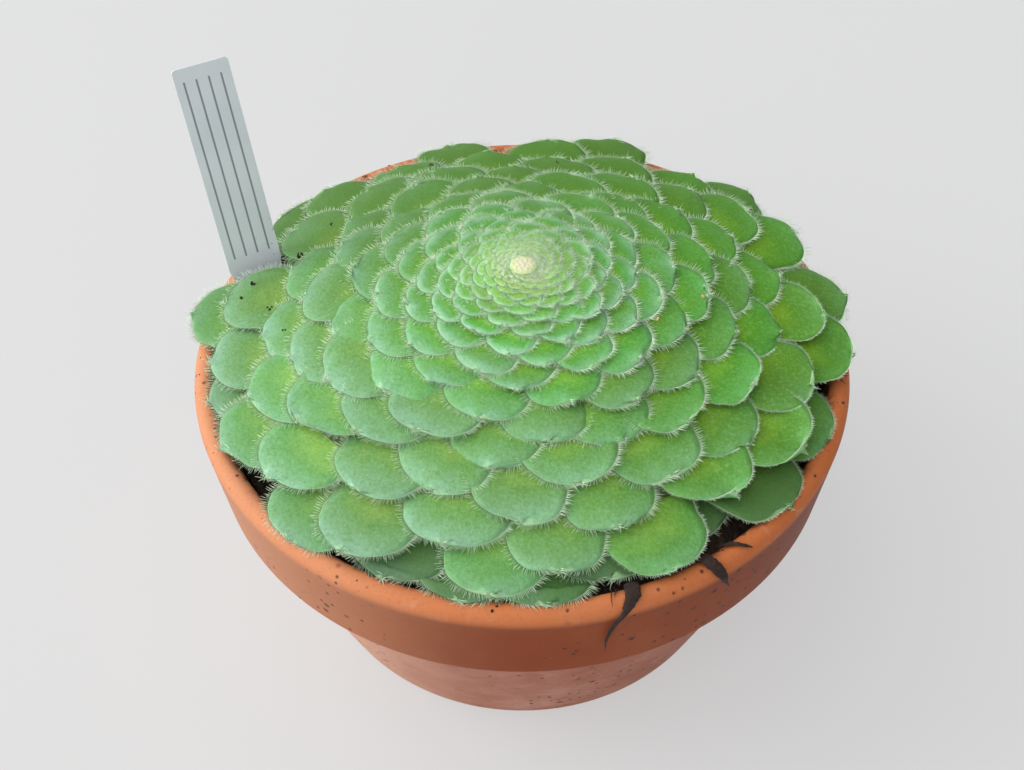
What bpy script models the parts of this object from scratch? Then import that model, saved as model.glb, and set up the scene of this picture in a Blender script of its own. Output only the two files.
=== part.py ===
"""Potted aeonium: a flat rosette of overlapping leaves in a terracotta half pot.

Metres, +Z up. The origin is the middle of the pot's flat base, and -Y is the front.
"""
import bmesh
import bpy
import math
import random
from mathutils import Matrix, Vector

# Pot
RIM_RADIUS = 0.100
POT_HEIGHT = 0.0995
COLLAR_HEIGHT = 0.032
COLLAR_FOOT_RADIUS = 0.0976
BODY_TOP_RADIUS = 0.0926
BASE_RADIUS = 0.0724
INNER_RIM_RADIUS = 0.0935
INNER_COLLAR_RADIUS = 0.0865
INNER_FLOOR_RADIUS = 0.0685
FLOOR_THICKNESS = 0.008
LIP_INNER_ROUND = 0.0030
LIP_OUTER_ROUND = 0.0035
SMALL_ROUND = 0.0015
DRAIN_HOLE_RADIUS = 0.005
DRAIN_HOLE_CIRCLE = 0.035
DRAIN_HOLES = 3
DRAIN_HOLE_SIDES = 12
COLLAR_STEP = 0.0004
POT_SIDES = 48

# Fit between pieces that touch, and how far a cutter runs past what it cuts
GAP = 0.0003
CUTTER_MARGIN = 0.004
WELD = 0.00001

# Soil: its mound is given as radius and share of the mound's height
SOIL_EDGE_DEPTH = 0.009
SOIL_MOUND = 0.003
MOUND_SHAPE = ((0.0, 1.0), (0.045, 0.8), (0.075, 0.3))
SOIL_SIDE_GAP = 0.0005
SOIL_SIDES = 36

# Stem, and its socket in the crown
STEM_RADIUS = 0.0083
STEM_FOOT_Z = 0.060
STEM_EDGE = 0.0008
STEM_WAIST_Z = 0.0815
STEM_FOOT_TAPER = 0.002
STEM_SIDES = 16
CROWN_UNDERSIDE_Z = POT_HEIGHT - 0.0040
SOCKET_DEPTH = 0.007

# Rosette: leaf k points to START_TURN + k * TURN, and its tip is at tip_radius(k)
CENTRE = Vector((0.0007, 0.0027, 0.0))
TURN = math.radians(137.467)
START_TURN = math.radians(-99.7)
BUD_INDEX = 36
INDEX_SHIFT = 17.5
INDEX_SPREAD = 147.0
GROWTH_POWER = 1.063
BUD_GROWTH = 20.0
BUD_SHARE = ((BUD_INDEX - INDEX_SHIFT) / INDEX_SPREAD) ** (1 / GROWTH_POWER)
INNERMOST = 0.0005
FIRST_LEAF = 7
LAST_LEAF = 186
WITHERED = (164, 169, 174, 177, 179, 180, 182, 183, 184, 185)
APEX_HEIGHT = 0.0287
EDGE_HEIGHT = 0.0030
DOME_POWER = 1.39

# Leaves of the edge that don't keep to the rule: leaf number and tip radius, leaf number and degrees
# that it turns aside, and a leaf between the others as layer number, direction and tip radius
ODD_REACH = {138: 0.0850, 142: 0.0885, 145: 0.0895, 146: 0.0930, 149: 0.0925, 154: 0.0945, 156: 0.0925,
             157: 0.0965, 158: 0.0985, 159: 0.0812, 161: 0.098, 162: 0.0975, 163: 0.0995,
             165: 0.0965, 166: 0.101, 167: 0.1035, 168: 0.0985, 170: 0.1005, 171: 0.103, 172: 0.098,
             173: 0.0930, 175: 0.0965, 176: 0.0970, 178: 0.0975, 181: 0.0905, 186: 0.0985}
ODD_TURN = {146: 2.5, 158: 5.5, 163: 5.0, 165: 2.5, 181: 2.0, 186: 4.5}
ADDED_LEAVES = ((188.0, 260.6, 0.0985),)

# Blade: its width grows with the radius of its tip, and its outline is given as the share of the
# way from the root to the tip and the share of its full half width
LEAF_WIDTH = 0.0280
WIDTH_GROWTH = 0.023
WIDEST_ANGLE = 0.48
BLADE_OUTLINE = ((0.0, 0.60), (0.42, 0.97), (0.70, 0.98), (0.88, 0.77), (0.975, 0.41), (1.0, 0.0))
SMALL_BLADE_ROWS = (0.0, 0.70, 0.93)
TIP_ZONE = 1.9
BLADE = 0.00075
BUD_BLADE = 0.0007
BUD_BLADE_INDEX = 66
FULL_BLADE_INDEX = 104
LAYER = 0.00016
ARCH = 0.00045
DROOP = 0.00035
DROOP_START = 0.8
TURN_SCATTER = math.radians(1.6)
REACH_SCATTER = 0.0012
WIDTH_SCATTER = 0.06
LIP_APPROACH = 0.003
LIP_CLEARANCE = 0.0005

# Crown that the leaves' roots are sunk in
CORE_DEPTH = 0.0036
CORE_APEX_DEPTH = 0.0005
CORE_APEX_RADIUS = 0.002
CORE_DEPTH_SLOPE = 0.25
CORE_RADII = (0.0, 0.002, 0.006, 0.012, 0.018, 0.030, 0.044, 0.058, 0.070, 0.080)
CORE_FLOOR_RADIUS = 0.060
CORE_SIDES = 28
ROOT_SINK = 0.0012
ROOT_STEP = 0.0002

# Label: where it crosses the soil's level, how it leans and is turned, and its outline
LABEL_FOOT = Vector((-0.0829, 0.0252, 0.0895))
LABEL_LEAN = math.radians(17.0)
LABEL_LEAN_TOWARDS = math.radians(118.0)
LABEL_TURN = math.radians(26.0)
LABEL_WIDTH = 0.0172
LABEL_THICKNESS = 0.0007
LABEL_ABOVE = 0.0825
LABEL_SHOULDER = 0.0160
LABEL_SOIL_HALF_WIDTH = 0.0036
LABEL_BELOW = 0.026
LABEL_POINT_HALF_WIDTH = 0.0015

# Wilted remnants over the lip: direction in degrees, way over the lip from its top, radius
REMNANT_LIFT = 0.0005
DRIED_LEAF = ((286.6, -0.0095, 0.0010), (286.9, -0.0060, 0.0014), (287.1, -0.0025, 0.0018),
              (286.9, 0.0005, 0.0020), (286.2, 0.0035, 0.0018), (285.5, 0.0065, 0.0014),
              (284.9, 0.0105, 0.0011), (284.2, 0.0165, 0.0008), (283.0, 0.0240, 0.0005))
DRIED_ROOT = ((299.6, -0.0070, 0.0008), (299.8, -0.0050, 0.0010), (300.2, -0.0025, 0.0012),
              (300.6, 0.0010, 0.0012), (301.4, 0.0045, 0.0010), (302.6, 0.0090, 0.0007),
              (304.2, 0.0150, 0.0005))
TWIG = ((304.4, -0.0030, 0.0004), (306.0, -0.0010, 0.0006), (307.2, 0.0010, 0.0005),
        (308.4, 0.0030, 0.0004))


def clear_scene():
    """Remove the objects that the scene starts with."""
    for item in list(bpy.data.objects):
        bpy.data.objects.remove(item, do_unlink=True)


def new_collection(name):
    """Make a collection under the scene."""
    group = bpy.data.collections.new(name)
    bpy.context.scene.collection.children.link(group)
    return group


def material(name, color, roughness):
    """Make a plain Principled BSDF material."""
    mat = bpy.data.materials.new(name)
    mat.use_nodes = True
    shader = mat.node_tree.nodes["Principled BSDF"]
    shader.inputs["Base Color"].default_value = (*color, 1.0)
    shader.inputs["Roughness"].default_value = roughness
    shader.inputs["Metallic"].default_value = 0.0
    mat.diffuse_color = (*color, 1.0)
    return mat


def add_object(name, mesh, group, mat):
    """Put a mesh in a named object with one material."""
    item = bpy.data.objects.new(name, mesh)
    group.objects.link(item)
    if mat:
        mesh.materials.append(mat)
    return item


def evaluated_mesh(item):
    """Return the mesh that an object's modifiers give."""
    bpy.context.view_layer.update()
    graph = bpy.context.evaluated_depsgraph_get()
    return bpy.data.meshes.new_from_object(item.evaluated_get(graph))


def arc(centre_x, centre_z, radius, start, end, steps):
    """Points of an arc in the profile's plane, angles in degrees."""
    points = []
    for step in range(steps + 1):
        angle = math.radians(start + (end - start) * step / steps)
        points.append((centre_x + radius * math.cos(angle), centre_z + radius * math.sin(angle)))
    return points


def turned(name, profile, sides, group, mat, place=(0.0, 0.0, 0.0)):
    """Turn a profile about Z with a Screw modifier."""
    mesh = bpy.data.meshes.new(name)
    mesh.from_pydata([(x, 0.0, z) for x, z in profile], [(i, i + 1) for i in range(len(profile) - 1)], [])
    item = add_object(name, mesh, group, mat)
    screw = item.modifiers.new("Turn", "SCREW")
    screw.axis = "Z"
    screw.steps = sides
    screw.render_steps = sides
    screw.use_merge_vertices = True
    screw.merge_threshold = WELD
    screw.use_smooth_shade = True
    item.location = place
    return item


def cut(item, cutter, group):
    """Subtract a cutter that stays in the scene as a guide."""
    cutter.hide_render = True
    cutter.display_type = "WIRE"
    cutter.hide_set(True)
    boolean = item.modifiers.new("Cut " + cutter.name, "BOOLEAN")
    boolean.operation = "DIFFERENCE"
    boolean.object = cutter
    boolean.solver = "EXACT"
    return item


def cylinder_cutter(name, radius, low, high, x, y, sides, group):
    """An upright cylinder for cutting a hole."""
    mesh = bpy.data.meshes.new(name)
    form = bmesh.new()
    bmesh.ops.create_cone(form, cap_ends=True, segments=sides, radius1=radius, radius2=radius,
                          depth=high - low)
    form.to_mesh(mesh)
    form.free()
    item = add_object(name, mesh, group, None)
    item.location = (x, y, (low + high) / 2)
    return item


def inner_wall_radius(z):
    """Radius of the pot's inner wall at a height."""
    collar_foot = POT_HEIGHT - COLLAR_HEIGHT
    lip_foot = POT_HEIGHT - LIP_INNER_ROUND
    if z > collar_foot:
        share = (z - collar_foot) / (lip_foot - collar_foot)
        return INNER_COLLAR_RADIUS + share * (INNER_RIM_RADIUS - INNER_COLLAR_RADIUS)
    share = (z - FLOOR_THICKNESS) / (collar_foot - FLOOR_THICKNESS)
    return INNER_FLOOR_RADIUS + share * (INNER_COLLAR_RADIUS - INNER_FLOOR_RADIUS)


def make_pot(group, cutters, mat):
    """Turned pot: floor, inner wall, rounded lip, collar, tapered body and flat base."""
    collar_foot = POT_HEIGHT - COLLAR_HEIGHT
    lip_centre = INNER_RIM_RADIUS + LIP_INNER_ROUND
    profile = [(0.0, FLOOR_THICKNESS), (INNER_FLOOR_RADIUS, FLOOR_THICKNESS)]
    profile.append((INNER_COLLAR_RADIUS, collar_foot))
    profile += arc(lip_centre, POT_HEIGHT - LIP_INNER_ROUND, LIP_INNER_ROUND, 180, 90, 3)
    profile += arc(RIM_RADIUS - LIP_OUTER_ROUND, POT_HEIGHT - LIP_OUTER_ROUND, LIP_OUTER_ROUND, 90, 0, 4)[1:]
    profile += arc(COLLAR_FOOT_RADIUS - SMALL_ROUND, collar_foot + SMALL_ROUND, SMALL_ROUND, 0, -90, 2)
    profile.append((BODY_TOP_RADIUS, collar_foot - COLLAR_STEP))
    profile += [(BASE_RADIUS, SMALL_ROUND), (BASE_RADIUS - SMALL_ROUND, 0.0), (0.0, 0.0)]
    pot = turned("pot", profile, POT_SIDES, group, mat)
    for hole in range(DRAIN_HOLES):
        angle = 2 * math.pi * hole / DRAIN_HOLES + math.pi / 2
        cutter = cylinder_cutter("drain_cutter_%d" % (hole + 1), DRAIN_HOLE_RADIUS, -CUTTER_MARGIN,
                                 FLOOR_THICKNESS + CUTTER_MARGIN, DRAIN_HOLE_CIRCLE * math.cos(angle),
                                 DRAIN_HOLE_CIRCLE * math.sin(angle), DRAIN_HOLE_SIDES, cutters)
        cut(pot, cutter, cutters)
    return pot


def make_soil(group, cutters, mat):
    """Soil that fills the pot up to just under the lip, with a hole for the stem and a slot."""
    top_edge = POT_HEIGHT - SOIL_EDGE_DEPTH
    bottom = FLOOR_THICKNESS + GAP
    profile = [(radius, top_edge + share * SOIL_MOUND) for radius, share in MOUND_SHAPE]
    profile.append((inner_wall_radius(top_edge) - SOIL_SIDE_GAP, top_edge))
    profile.append((INNER_COLLAR_RADIUS - SOIL_SIDE_GAP, POT_HEIGHT - COLLAR_HEIGHT))
    profile += [(inner_wall_radius(bottom) - SOIL_SIDE_GAP, bottom), (0.0, bottom)]
    soil = turned("soil", profile, SOIL_SIDES, group, mat)
    cut(soil, cylinder_cutter("stem_hole_cutter", STEM_RADIUS + 2 * GAP, STEM_FOOT_Z - GAP,
                              POT_HEIGHT + CUTTER_MARGIN, CENTRE.x, CENTRE.y, STEM_SIDES, cutters), cutters)
    cut(soil, label_solid("label_slot_cutter", GAP, cutters, None), cutters)
    return soil


def make_stem(group, mat):
    """Short woody stem from the soil up into the crown's socket."""
    top = CROWN_UNDERSIDE_Z + SOCKET_DEPTH - GAP
    profile = [(0.0, top), (STEM_RADIUS - STEM_EDGE, top), (STEM_RADIUS, top - STEM_EDGE)]
    profile += [(STEM_RADIUS, STEM_WAIST_Z), (STEM_RADIUS - STEM_EDGE, STEM_FOOT_Z + STEM_FOOT_TAPER)]
    profile += [(STEM_RADIUS / 2, STEM_FOOT_Z), (0.0, STEM_FOOT_Z)]
    return turned("stem", profile, STEM_SIDES, group, mat, (CENTRE.x, CENTRE.y, 0.0))


def tip_radius(index):
    """Radius of the tip of leaf number index: a power law outside, steady growth in the bud."""
    if index < BUD_INDEX:
        return RIM_RADIUS * BUD_SHARE * math.exp((index - BUD_INDEX) / BUD_GROWTH)
    return RIM_RADIUS * ((index - INDEX_SHIFT) / INDEX_SPREAD) ** (1 / GROWTH_POWER)


def index_at(radius):
    """Leaf number whose tip is at a radius, the reverse of tip_radius."""
    share = max(radius, INNERMOST) / RIM_RADIUS
    if share < BUD_SHARE:
        return BUD_INDEX + BUD_GROWTH * math.log(share / BUD_SHARE)
    return INDEX_SHIFT + INDEX_SPREAD * share ** GROWTH_POWER


def dome_height(radius):
    """Height of the rosette's dome at a radius from its own axis."""
    share = 1 - (radius / RIM_RADIUS) ** DOME_POWER
    return POT_HEIGHT + EDGE_HEIGHT + (APEX_HEIGHT - EDGE_HEIGHT) * share


def core_depth(radius):
    """How far the crown lies under the dome."""
    return min(CORE_DEPTH, CORE_APEX_DEPTH + CORE_DEPTH_SLOPE * max(0.0, radius - CORE_APEX_RADIUS))


def leaf_depth(index, radius):
    """How far leaf number index lies under the dome: each leaf is one layer under the one before."""
    return LAYER * (index - index_at(radius))


def root_radius(index, tip):
    """Radius at which a leaf is sunk into the crown."""
    radius = min(tip, CORE_RADII[-1] - ROOT_SINK)
    while radius > ROOT_SINK and leaf_depth(index, radius) < core_depth(radius) + ROOT_SINK:
        radius -= ROOT_STEP
    return radius


def leaf_width(tip):
    """Width of a leaf by the radius of its tip: it widens fast in the heart and slowly outside."""
    return LEAF_WIDTH * (1 - math.exp(-tip / WIDTH_GROWTH))


def blade_half_width(share, full):
    """Half width of a spoon-shaped blade, share running from 0 at the root to 1 at the tip."""
    for (low, low_width), (high, high_width) in zip(BLADE_OUTLINE, BLADE_OUTLINE[1:]):
        if share <= high:
            return full * (low_width + (high_width - low_width) * (share - low) / (high - low))
    return 0.0


def leaf_mesh(index, turn, tip, width_scale):
    """Open surface of one blade, in rows from the root to the tip."""
    root = root_radius(index, tip)
    full = 0.5 * leaf_width(tip) * width_scale
    large = index >= FULL_BLADE_INDEX
    tip_zone = min(tip - root, TIP_ZONE * full)
    shares = [share for share, _ in BLADE_OUTLINE[:-1]] if large else SMALL_BLADE_ROWS
    sides = (-1, 0, 1) if large else (-1, 1)
    outward = Vector((math.cos(turn), math.sin(turn), 0.0))
    sideways = Vector((-math.sin(turn), math.cos(turn), 0.0))
    form = bmesh.new()
    rows = []
    for share in shares:
        reach = tip - tip_zone * (1 - share) if share > 0 else root
        width = min(blade_half_width(share, full), WIDEST_ANGLE * reach)
        rows.append([blade_point(form, index, outward, sideways, reach, side, width, full, share)
                     for side in sides])
    end = blade_point(form, index, outward, sideways, tip, 0, 0.0, full, 1.0)
    for low, high in zip(rows, rows[1:]):
        for i in range(len(sides) - 1):
            form.faces.new((low[i], high[i], high[i + 1], low[i + 1]))
    for i in range(len(sides) - 1):
        form.faces.new((rows[-1][i], end, rows[-1][i + 1]))
    bmesh.ops.triangulate(form, faces=form.faces[:])
    bmesh.ops.recalc_face_normals(form, faces=form.faces[:])
    if sum(face.normal.z for face in form.faces) < 0:
        bmesh.ops.reverse_faces(form, faces=form.faces[:])
    mesh = bpy.data.meshes.new("leaf_%03d" % index)
    form.to_mesh(mesh)
    form.free()
    return mesh


def blade_point(form, index, outward, sideways, reach, side, width, full, share):
    """One vertex of a blade, on its layer under the dome, arched and drooping at the tip."""
    flat = outward * reach + sideways * (side * width)
    radius = flat.length
    arch = ARCH * (width / full) ** 2 if side else 0.0
    droop = DROOP * max(0.0, (share - DROOP_START) / (1 - DROOP_START))
    height = dome_height(radius) - leaf_depth(index, radius) - arch - droop
    point = CENTRE + flat
    if point.length > INNER_RIM_RADIUS - LIP_APPROACH:
        height = max(height, POT_HEIGHT + LIP_CLEARANCE + BLADE)
    point.z = height
    return form.verts.new(point)


def make_core(group, mat):
    """Crown that every leaf grows from, with a socket for the stem under it."""
    socket_radius = STEM_RADIUS + 2 * GAP
    profile = [(r, dome_height(r) - core_depth(r)) for r in CORE_RADII]
    profile += [(CORE_RADII[-1], POT_HEIGHT), (CORE_FLOOR_RADIUS, CROWN_UNDERSIDE_Z)]
    profile += [(socket_radius, CROWN_UNDERSIDE_Z), (socket_radius, CROWN_UNDERSIDE_Z + SOCKET_DEPTH)]
    profile.append((0.0, CROWN_UNDERSIDE_Z + SOCKET_DEPTH))
    return turned("crown", profile, CORE_SIDES, group, mat, (CENTRE.x, CENTRE.y, 0.0))


def leaf_list():
    """Number, direction, tip radius and width scale of every leaf."""
    draw = random.Random(11)
    leaves = []
    for index in range(FIRST_LEAF, LAST_LEAF + 1):
        turn = START_TURN + index * TURN + draw.uniform(-TURN_SCATTER, TURN_SCATTER)
        turn += math.radians(ODD_TURN.get(index, 0.0))
        scatter = REACH_SCATTER if index >= FULL_BLADE_INDEX else 0.0
        tip = tip_radius(index) + draw.uniform(-scatter, scatter)
        width = 1 + draw.uniform(-WIDTH_SCATTER, WIDTH_SCATTER)
        if index not in WITHERED:
            leaves.append((index, turn, ODD_REACH.get(index, tip), width))
    for number, direction, tip in ADDED_LEAVES:
        leaves.append((number, math.radians(direction), tip, 1.0))
    return leaves


def make_rosette(group, mat):
    """All leaves joined to the crown by one Boolean union."""
    leaves = new_collection("leaves")
    for index, turn, tip, width in leaf_list():
        leaf = add_object("leaf_%03d" % index, leaf_mesh(index, turn, tip, width), leaves, None)
        solid = leaf.modifiers.new("Thickness", "SOLIDIFY")
        solid.thickness = BLADE if index >= BUD_BLADE_INDEX else BUD_BLADE
        solid.offset = -1.0
    core = make_core(group, mat)
    union = core.modifiers.new("Leaves", "BOOLEAN")
    union.operation = "UNION"
    union.operand_type = "COLLECTION"
    union.collection = leaves
    union.solver = "MANIFOLD"
    mesh = evaluated_mesh(core)
    mesh.transform(core.matrix_world)
    mesh.name = "rosette"
    for item in list(leaves.objects) + [core]:
        bpy.data.objects.remove(item, do_unlink=True)
    bpy.data.collections.remove(leaves)
    mesh.materials.clear()
    rosette = add_object("rosette", mesh, group, mat)
    return rosette


def label_axes():
    """Directions of the label: along its width, out of its face and up its length."""
    up = Vector((math.sin(LABEL_LEAN) * math.cos(LABEL_LEAN_TOWARDS),
                 math.sin(LABEL_LEAN) * math.sin(LABEL_LEAN_TOWARDS), math.cos(LABEL_LEAN)))
    along = Vector((math.cos(LABEL_TURN), math.sin(LABEL_TURN), 0.0))
    along = (along - up * along.dot(up)).normalized()
    across = up.cross(along)
    return along, across, up


def label_solid(name, grow, group, mat):
    """The label's outline, pointed below its shoulders, as a flat solid in its place."""
    half = LABEL_WIDTH / 2
    right = [(half, LABEL_ABOVE), (half, LABEL_SHOULDER), (LABEL_SOIL_HALF_WIDTH + grow, 0.0)]
    right.append((LABEL_POINT_HALF_WIDTH + grow, -LABEL_BELOW - grow))
    outline = right + [(-x, y) for x, y in reversed(right)]
    curve = bpy.data.curves.new(name, "CURVE")
    curve.dimensions = "2D"
    curve.fill_mode = "BOTH"
    curve.extrude = LABEL_THICKNESS / 2 + grow
    spline = curve.splines.new("POLY")
    spline.points.add(len(outline) - 1)
    spline.use_cyclic_u = True
    for point, (x, y) in zip(spline.points, outline):
        point.co = (x, y, 0.0, 1.0)
    flat = bpy.data.objects.new(name, curve)
    group.objects.link(flat)
    mesh = evaluated_mesh(flat)
    bpy.data.objects.remove(flat, do_unlink=True)
    form = bmesh.new()
    form.from_mesh(mesh)
    bmesh.ops.remove_doubles(form, verts=form.verts[:], dist=WELD)
    form.to_mesh(mesh)
    form.free()
    item = add_object(name, mesh, group, mat)
    along, across, up = label_axes()
    turn = Matrix((along, up, along.cross(up))).transposed().to_4x4()
    item.matrix_world = Matrix.Translation(LABEL_FOOT) @ turn
    return item


def make_label(group, mat):
    """Flat plastic plant label."""
    return label_solid("plant_label", 0.0, group, mat)


def over_lip(direction, way, clearance):
    """A point held off the pot's lip: way runs over it, inward if negative, then down its side."""
    lip_round = LIP_OUTER_ROUND if way > 0 else LIP_INNER_ROUND
    turn_length = (lip_round + clearance) * math.pi / 2
    bend = min(abs(way) / turn_length, 1.0) * math.pi / 2
    down = max(abs(way) - turn_length, 0.0)
    lean = (RIM_RADIUS - COLLAR_FOOT_RADIUS) / COLLAR_HEIGHT
    if way < 0:
        lean = (INNER_RIM_RADIUS - INNER_COLLAR_RADIUS) / COLLAR_HEIGHT
    out = (lip_round + clearance) * math.sin(bend)
    centre = RIM_RADIUS - LIP_OUTER_ROUND
    radius = centre + out - lean * down if way > 0 else centre - out - lean * down
    height = POT_HEIGHT - lip_round + (lip_round + clearance) * math.cos(bend) - down
    angle = math.radians(direction)
    return (radius * math.cos(angle), radius * math.sin(angle), height)


def make_strand(name, places, group, mat):
    """A thin wilted piece: a curve with round section whose radius changes along it."""
    curve = bpy.data.curves.new(name, "CURVE")
    curve.dimensions = "3D"
    curve.bevel_depth = 1.0
    curve.bevel_resolution = 1
    curve.use_fill_caps = True
    spline = curve.splines.new("POLY")
    spline.points.add(len(places) - 1)
    for point, (direction, way, radius) in zip(spline.points, places):
        point.co = (*over_lip(direction, way, radius + GAP + REMNANT_LIFT), 1.0)
        point.radius = radius
    item = bpy.data.objects.new(name, curve)
    group.objects.link(item)
    curve.materials.append(mat)
    return item


def main():
    clear_scene()
    group = new_collection("potted_aeonium")
    cutters = new_collection("cutters")
    terracotta = material("terracotta", (0.62, 0.24, 0.12), 0.85)
    earth = material("earth", (0.045, 0.03, 0.02), 0.95)
    bark = material("bark", (0.20, 0.13, 0.08), 0.9)
    leaf_green = material("leaf_green", (0.20, 0.42, 0.14), 0.6)
    label_plastic = material("label_plastic", (0.62, 0.68, 0.74), 0.45)
    wilted = material("wilted", (0.10, 0.05, 0.03), 0.9)
    make_pot(group, cutters, terracotta)
    make_soil(group, cutters, earth)
    make_stem(group, bark)
    make_rosette(group, leaf_green)
    make_label(group, label_plastic)
    make_strand("dried_leaf", DRIED_LEAF, group, wilted)
    make_strand("dried_root", DRIED_ROOT, group, wilted)
    make_strand("twig", TWIG, group, wilted)


main()
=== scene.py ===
"""Looks for the potted aeonium: fringed velvety leaves, dusty terracotta, damp soil and a bare label."""
import bmesh
import bpy
import math
import random
from mathutils import Matrix, Vector
from mathutils import noise as snoise


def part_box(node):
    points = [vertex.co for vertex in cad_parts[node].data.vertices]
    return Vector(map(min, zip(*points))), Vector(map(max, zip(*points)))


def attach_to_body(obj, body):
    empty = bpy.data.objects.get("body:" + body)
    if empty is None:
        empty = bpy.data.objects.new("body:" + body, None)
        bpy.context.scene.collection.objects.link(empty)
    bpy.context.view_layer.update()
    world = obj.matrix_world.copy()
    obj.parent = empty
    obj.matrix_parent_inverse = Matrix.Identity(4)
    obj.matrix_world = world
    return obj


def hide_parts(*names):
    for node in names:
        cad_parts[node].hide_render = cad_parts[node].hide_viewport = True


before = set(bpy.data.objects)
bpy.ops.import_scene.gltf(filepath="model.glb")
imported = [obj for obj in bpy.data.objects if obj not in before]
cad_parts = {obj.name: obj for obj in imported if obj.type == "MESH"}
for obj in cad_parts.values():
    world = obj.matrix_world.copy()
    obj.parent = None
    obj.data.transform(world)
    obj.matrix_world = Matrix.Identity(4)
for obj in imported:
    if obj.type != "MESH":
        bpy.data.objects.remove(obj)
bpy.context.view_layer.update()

POT_LOW, POT_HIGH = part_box("pot")
RIM_RADIUS = (POT_HIGH.x - POT_LOW.x) / 2
POT_HEIGHT = POT_HIGH.z

# Pot, in metres, the same sizes as the solid's
COLLAR_HEIGHT = 0.032
COLLAR_FOOT_RADIUS = 0.0976
BODY_TOP_RADIUS = 0.0926
BASE_RADIUS = 0.0724
INNER_RIM_RADIUS = 0.0935
INNER_COLLAR_RADIUS = 0.0865
INNER_FLOOR_RADIUS = 0.0685
FLOOR_THICKNESS = 0.008
LIP_INNER_ROUND = 0.0030
LIP_OUTER_ROUND = 0.0035
POT_SIDES = 192
COLLAR_FOOT = POT_HEIGHT - COLLAR_HEIGHT
COLLAR_FOOT_ROUND = 0.0020
UNDERCUT_ROUND = 0.0012
BASE_ROUND = 0.0016
DRAIN_HOLES = 3
DRAIN_CIRCLE_RADIUS = 0.035
DRAIN_RADIUS = 0.005
SOIL_LEVEL = POT_HEIGHT - 0.009
SOIL_SIDE_GAP = 0.0005
STEM_SOCKET_RADIUS = 0.0089
STEM_SOCKET_DEPTH = 0.007

# Rosette rule, the same as the solid's
CENTRE = Vector((0.0007, 0.0027, 0.0))
TURN = math.radians(137.467)
START_TURN = math.radians(-99.7)
INDEX_SHIFT = 17.5
INDEX_SPREAD = 147.0
GROWTH_POWER = 1.063
FIRST_LEAF = 7
LAST_LEAF = 186

# Leaves off the rule: left out, with a reach or a turn in degrees of their own, or added as number,
# direction and reach
WITHERED = (164, 169, 174, 177, 179, 180, 182, 183, 184, 185)
ODD_REACH = {138: 0.0850, 142: 0.0885, 145: 0.0895, 146: 0.0930, 149: 0.0925, 154: 0.0945, 156: 0.0925,
             157: 0.0965, 158: 0.0985, 159: 0.0812, 161: 0.098, 162: 0.0975, 163: 0.0995,
             165: 0.0965, 166: 0.101, 167: 0.1035, 168: 0.0985, 170: 0.1005, 171: 0.103, 172: 0.098,
             173: 0.0930, 175: 0.0965, 176: 0.0970, 178: 0.0975, 181: 0.0905, 186: 0.0985}
ODD_TURN = {146: 2.5, 158: 5.5, 163: 5.0, 165: 2.5, 181: 2.0, 186: 4.5}
ADDED_LEAVES = ((188.0, 260.6, 0.0985),)

# Leaves with short hairs, leaves folded along the middle, and dull old leaves
SMOOTH_LEAVES = (134, 142, 147, 155, 160, 163, 168, 150, 176, 129, 121)
FOLDED = {155: 0.32, 147: 0.22, 142: 0.16, 163: 0.12, 150: 0.14}
OLD_LEAVES = (168, 173, 178, 181, 186, 188.0)

# Dome, blades and crown
APEX_HEIGHT = 0.0287
EDGE_HEIGHT = 0.0030
DOME_POWER = 1.39
LEAF_WIDTH = 0.0280
WIDTH_GROWTH = 0.023
LAYER = 0.00016
TURN_SCATTER = math.radians(1.6)
REACH_SCATTER = 0.0012
WIDTH_SCATTER = 0.06
FULL_BLADE_INDEX = 104
CORE_DEPTH = 0.0036
CORE_APEX_DEPTH = 0.0005
CORE_DEPTH_SLOPE = 0.25
CORE_EDGE_RADIUS = 0.080
ROOT_SINK = 0.0012
LIP_CLEARANCE = 0.0005

# Heart: inside this radius the leaves shrink by the same share from one to the next
SMALLEST_LEAF = -92
HEART_RADIUS = 0.045
HEART_GROWTH = 65.0
HEART_INDEX = INDEX_SHIFT + INDEX_SPREAD * (HEART_RADIUS / RIM_RADIUS) ** GROWTH_POWER
HEART_WIDTH = 0.50
BUD_RADIUS = 0.0040

# Label, in metres and degrees, the same as the solid's
LABEL_FOOT = Vector((-0.0829, 0.0252, 0.0895))
LABEL_LEAN = math.radians(17.0)
LABEL_LEAN_TOWARDS = math.radians(118.0)
LABEL_TURN = math.radians(26.0)
LABEL_WIDTH = 0.0172
LABEL_THICKNESS = 0.0007
LABEL_ABOVE = 0.0825
LABEL_SHOULDER = 0.0160
LABEL_SOIL_HALF_WIDTH = 0.0036
LABEL_BELOW = 0.026
LABEL_POINT_HALF_WIDTH = 0.0015
LABEL_CORNER = 0.0012

# Wilted pieces over the lip: direction in degrees, way over the lip from its top, half width, half thickness
WILTED_LEAF = ((286.9, -0.0095, 0.0010, 0.0005), (287.4, -0.0060, 0.0016, 0.0006),
               (287.6, -0.0025, 0.0022, 0.0006), (287.2, 0.0005, 0.0022, 0.0006),
               (286.2, 0.0030, 0.0016, 0.0006), (285.2, 0.0055, 0.0008, 0.0006),
               (284.2, 0.0080, 0.0006, 0.0005), (283.3, 0.0125, 0.0006, 0.0005),
               (282.7, 0.0180, 0.0005, 0.0004), (282.9, 0.0235, 0.0004, 0.0003))
WILTED_ROOT = ((299.6, -0.0070, 0.0009, 0.0005), (299.8, -0.0050, 0.0012, 0.0006),
               (300.2, -0.0025, 0.0018, 0.0006), (300.8, 0.0010, 0.0020, 0.0006),
               (301.6, 0.0045, 0.0015, 0.0005), (302.6, 0.0090, 0.0007, 0.0004),
               (304.0, 0.0140, 0.0003, 0.0003))
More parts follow.
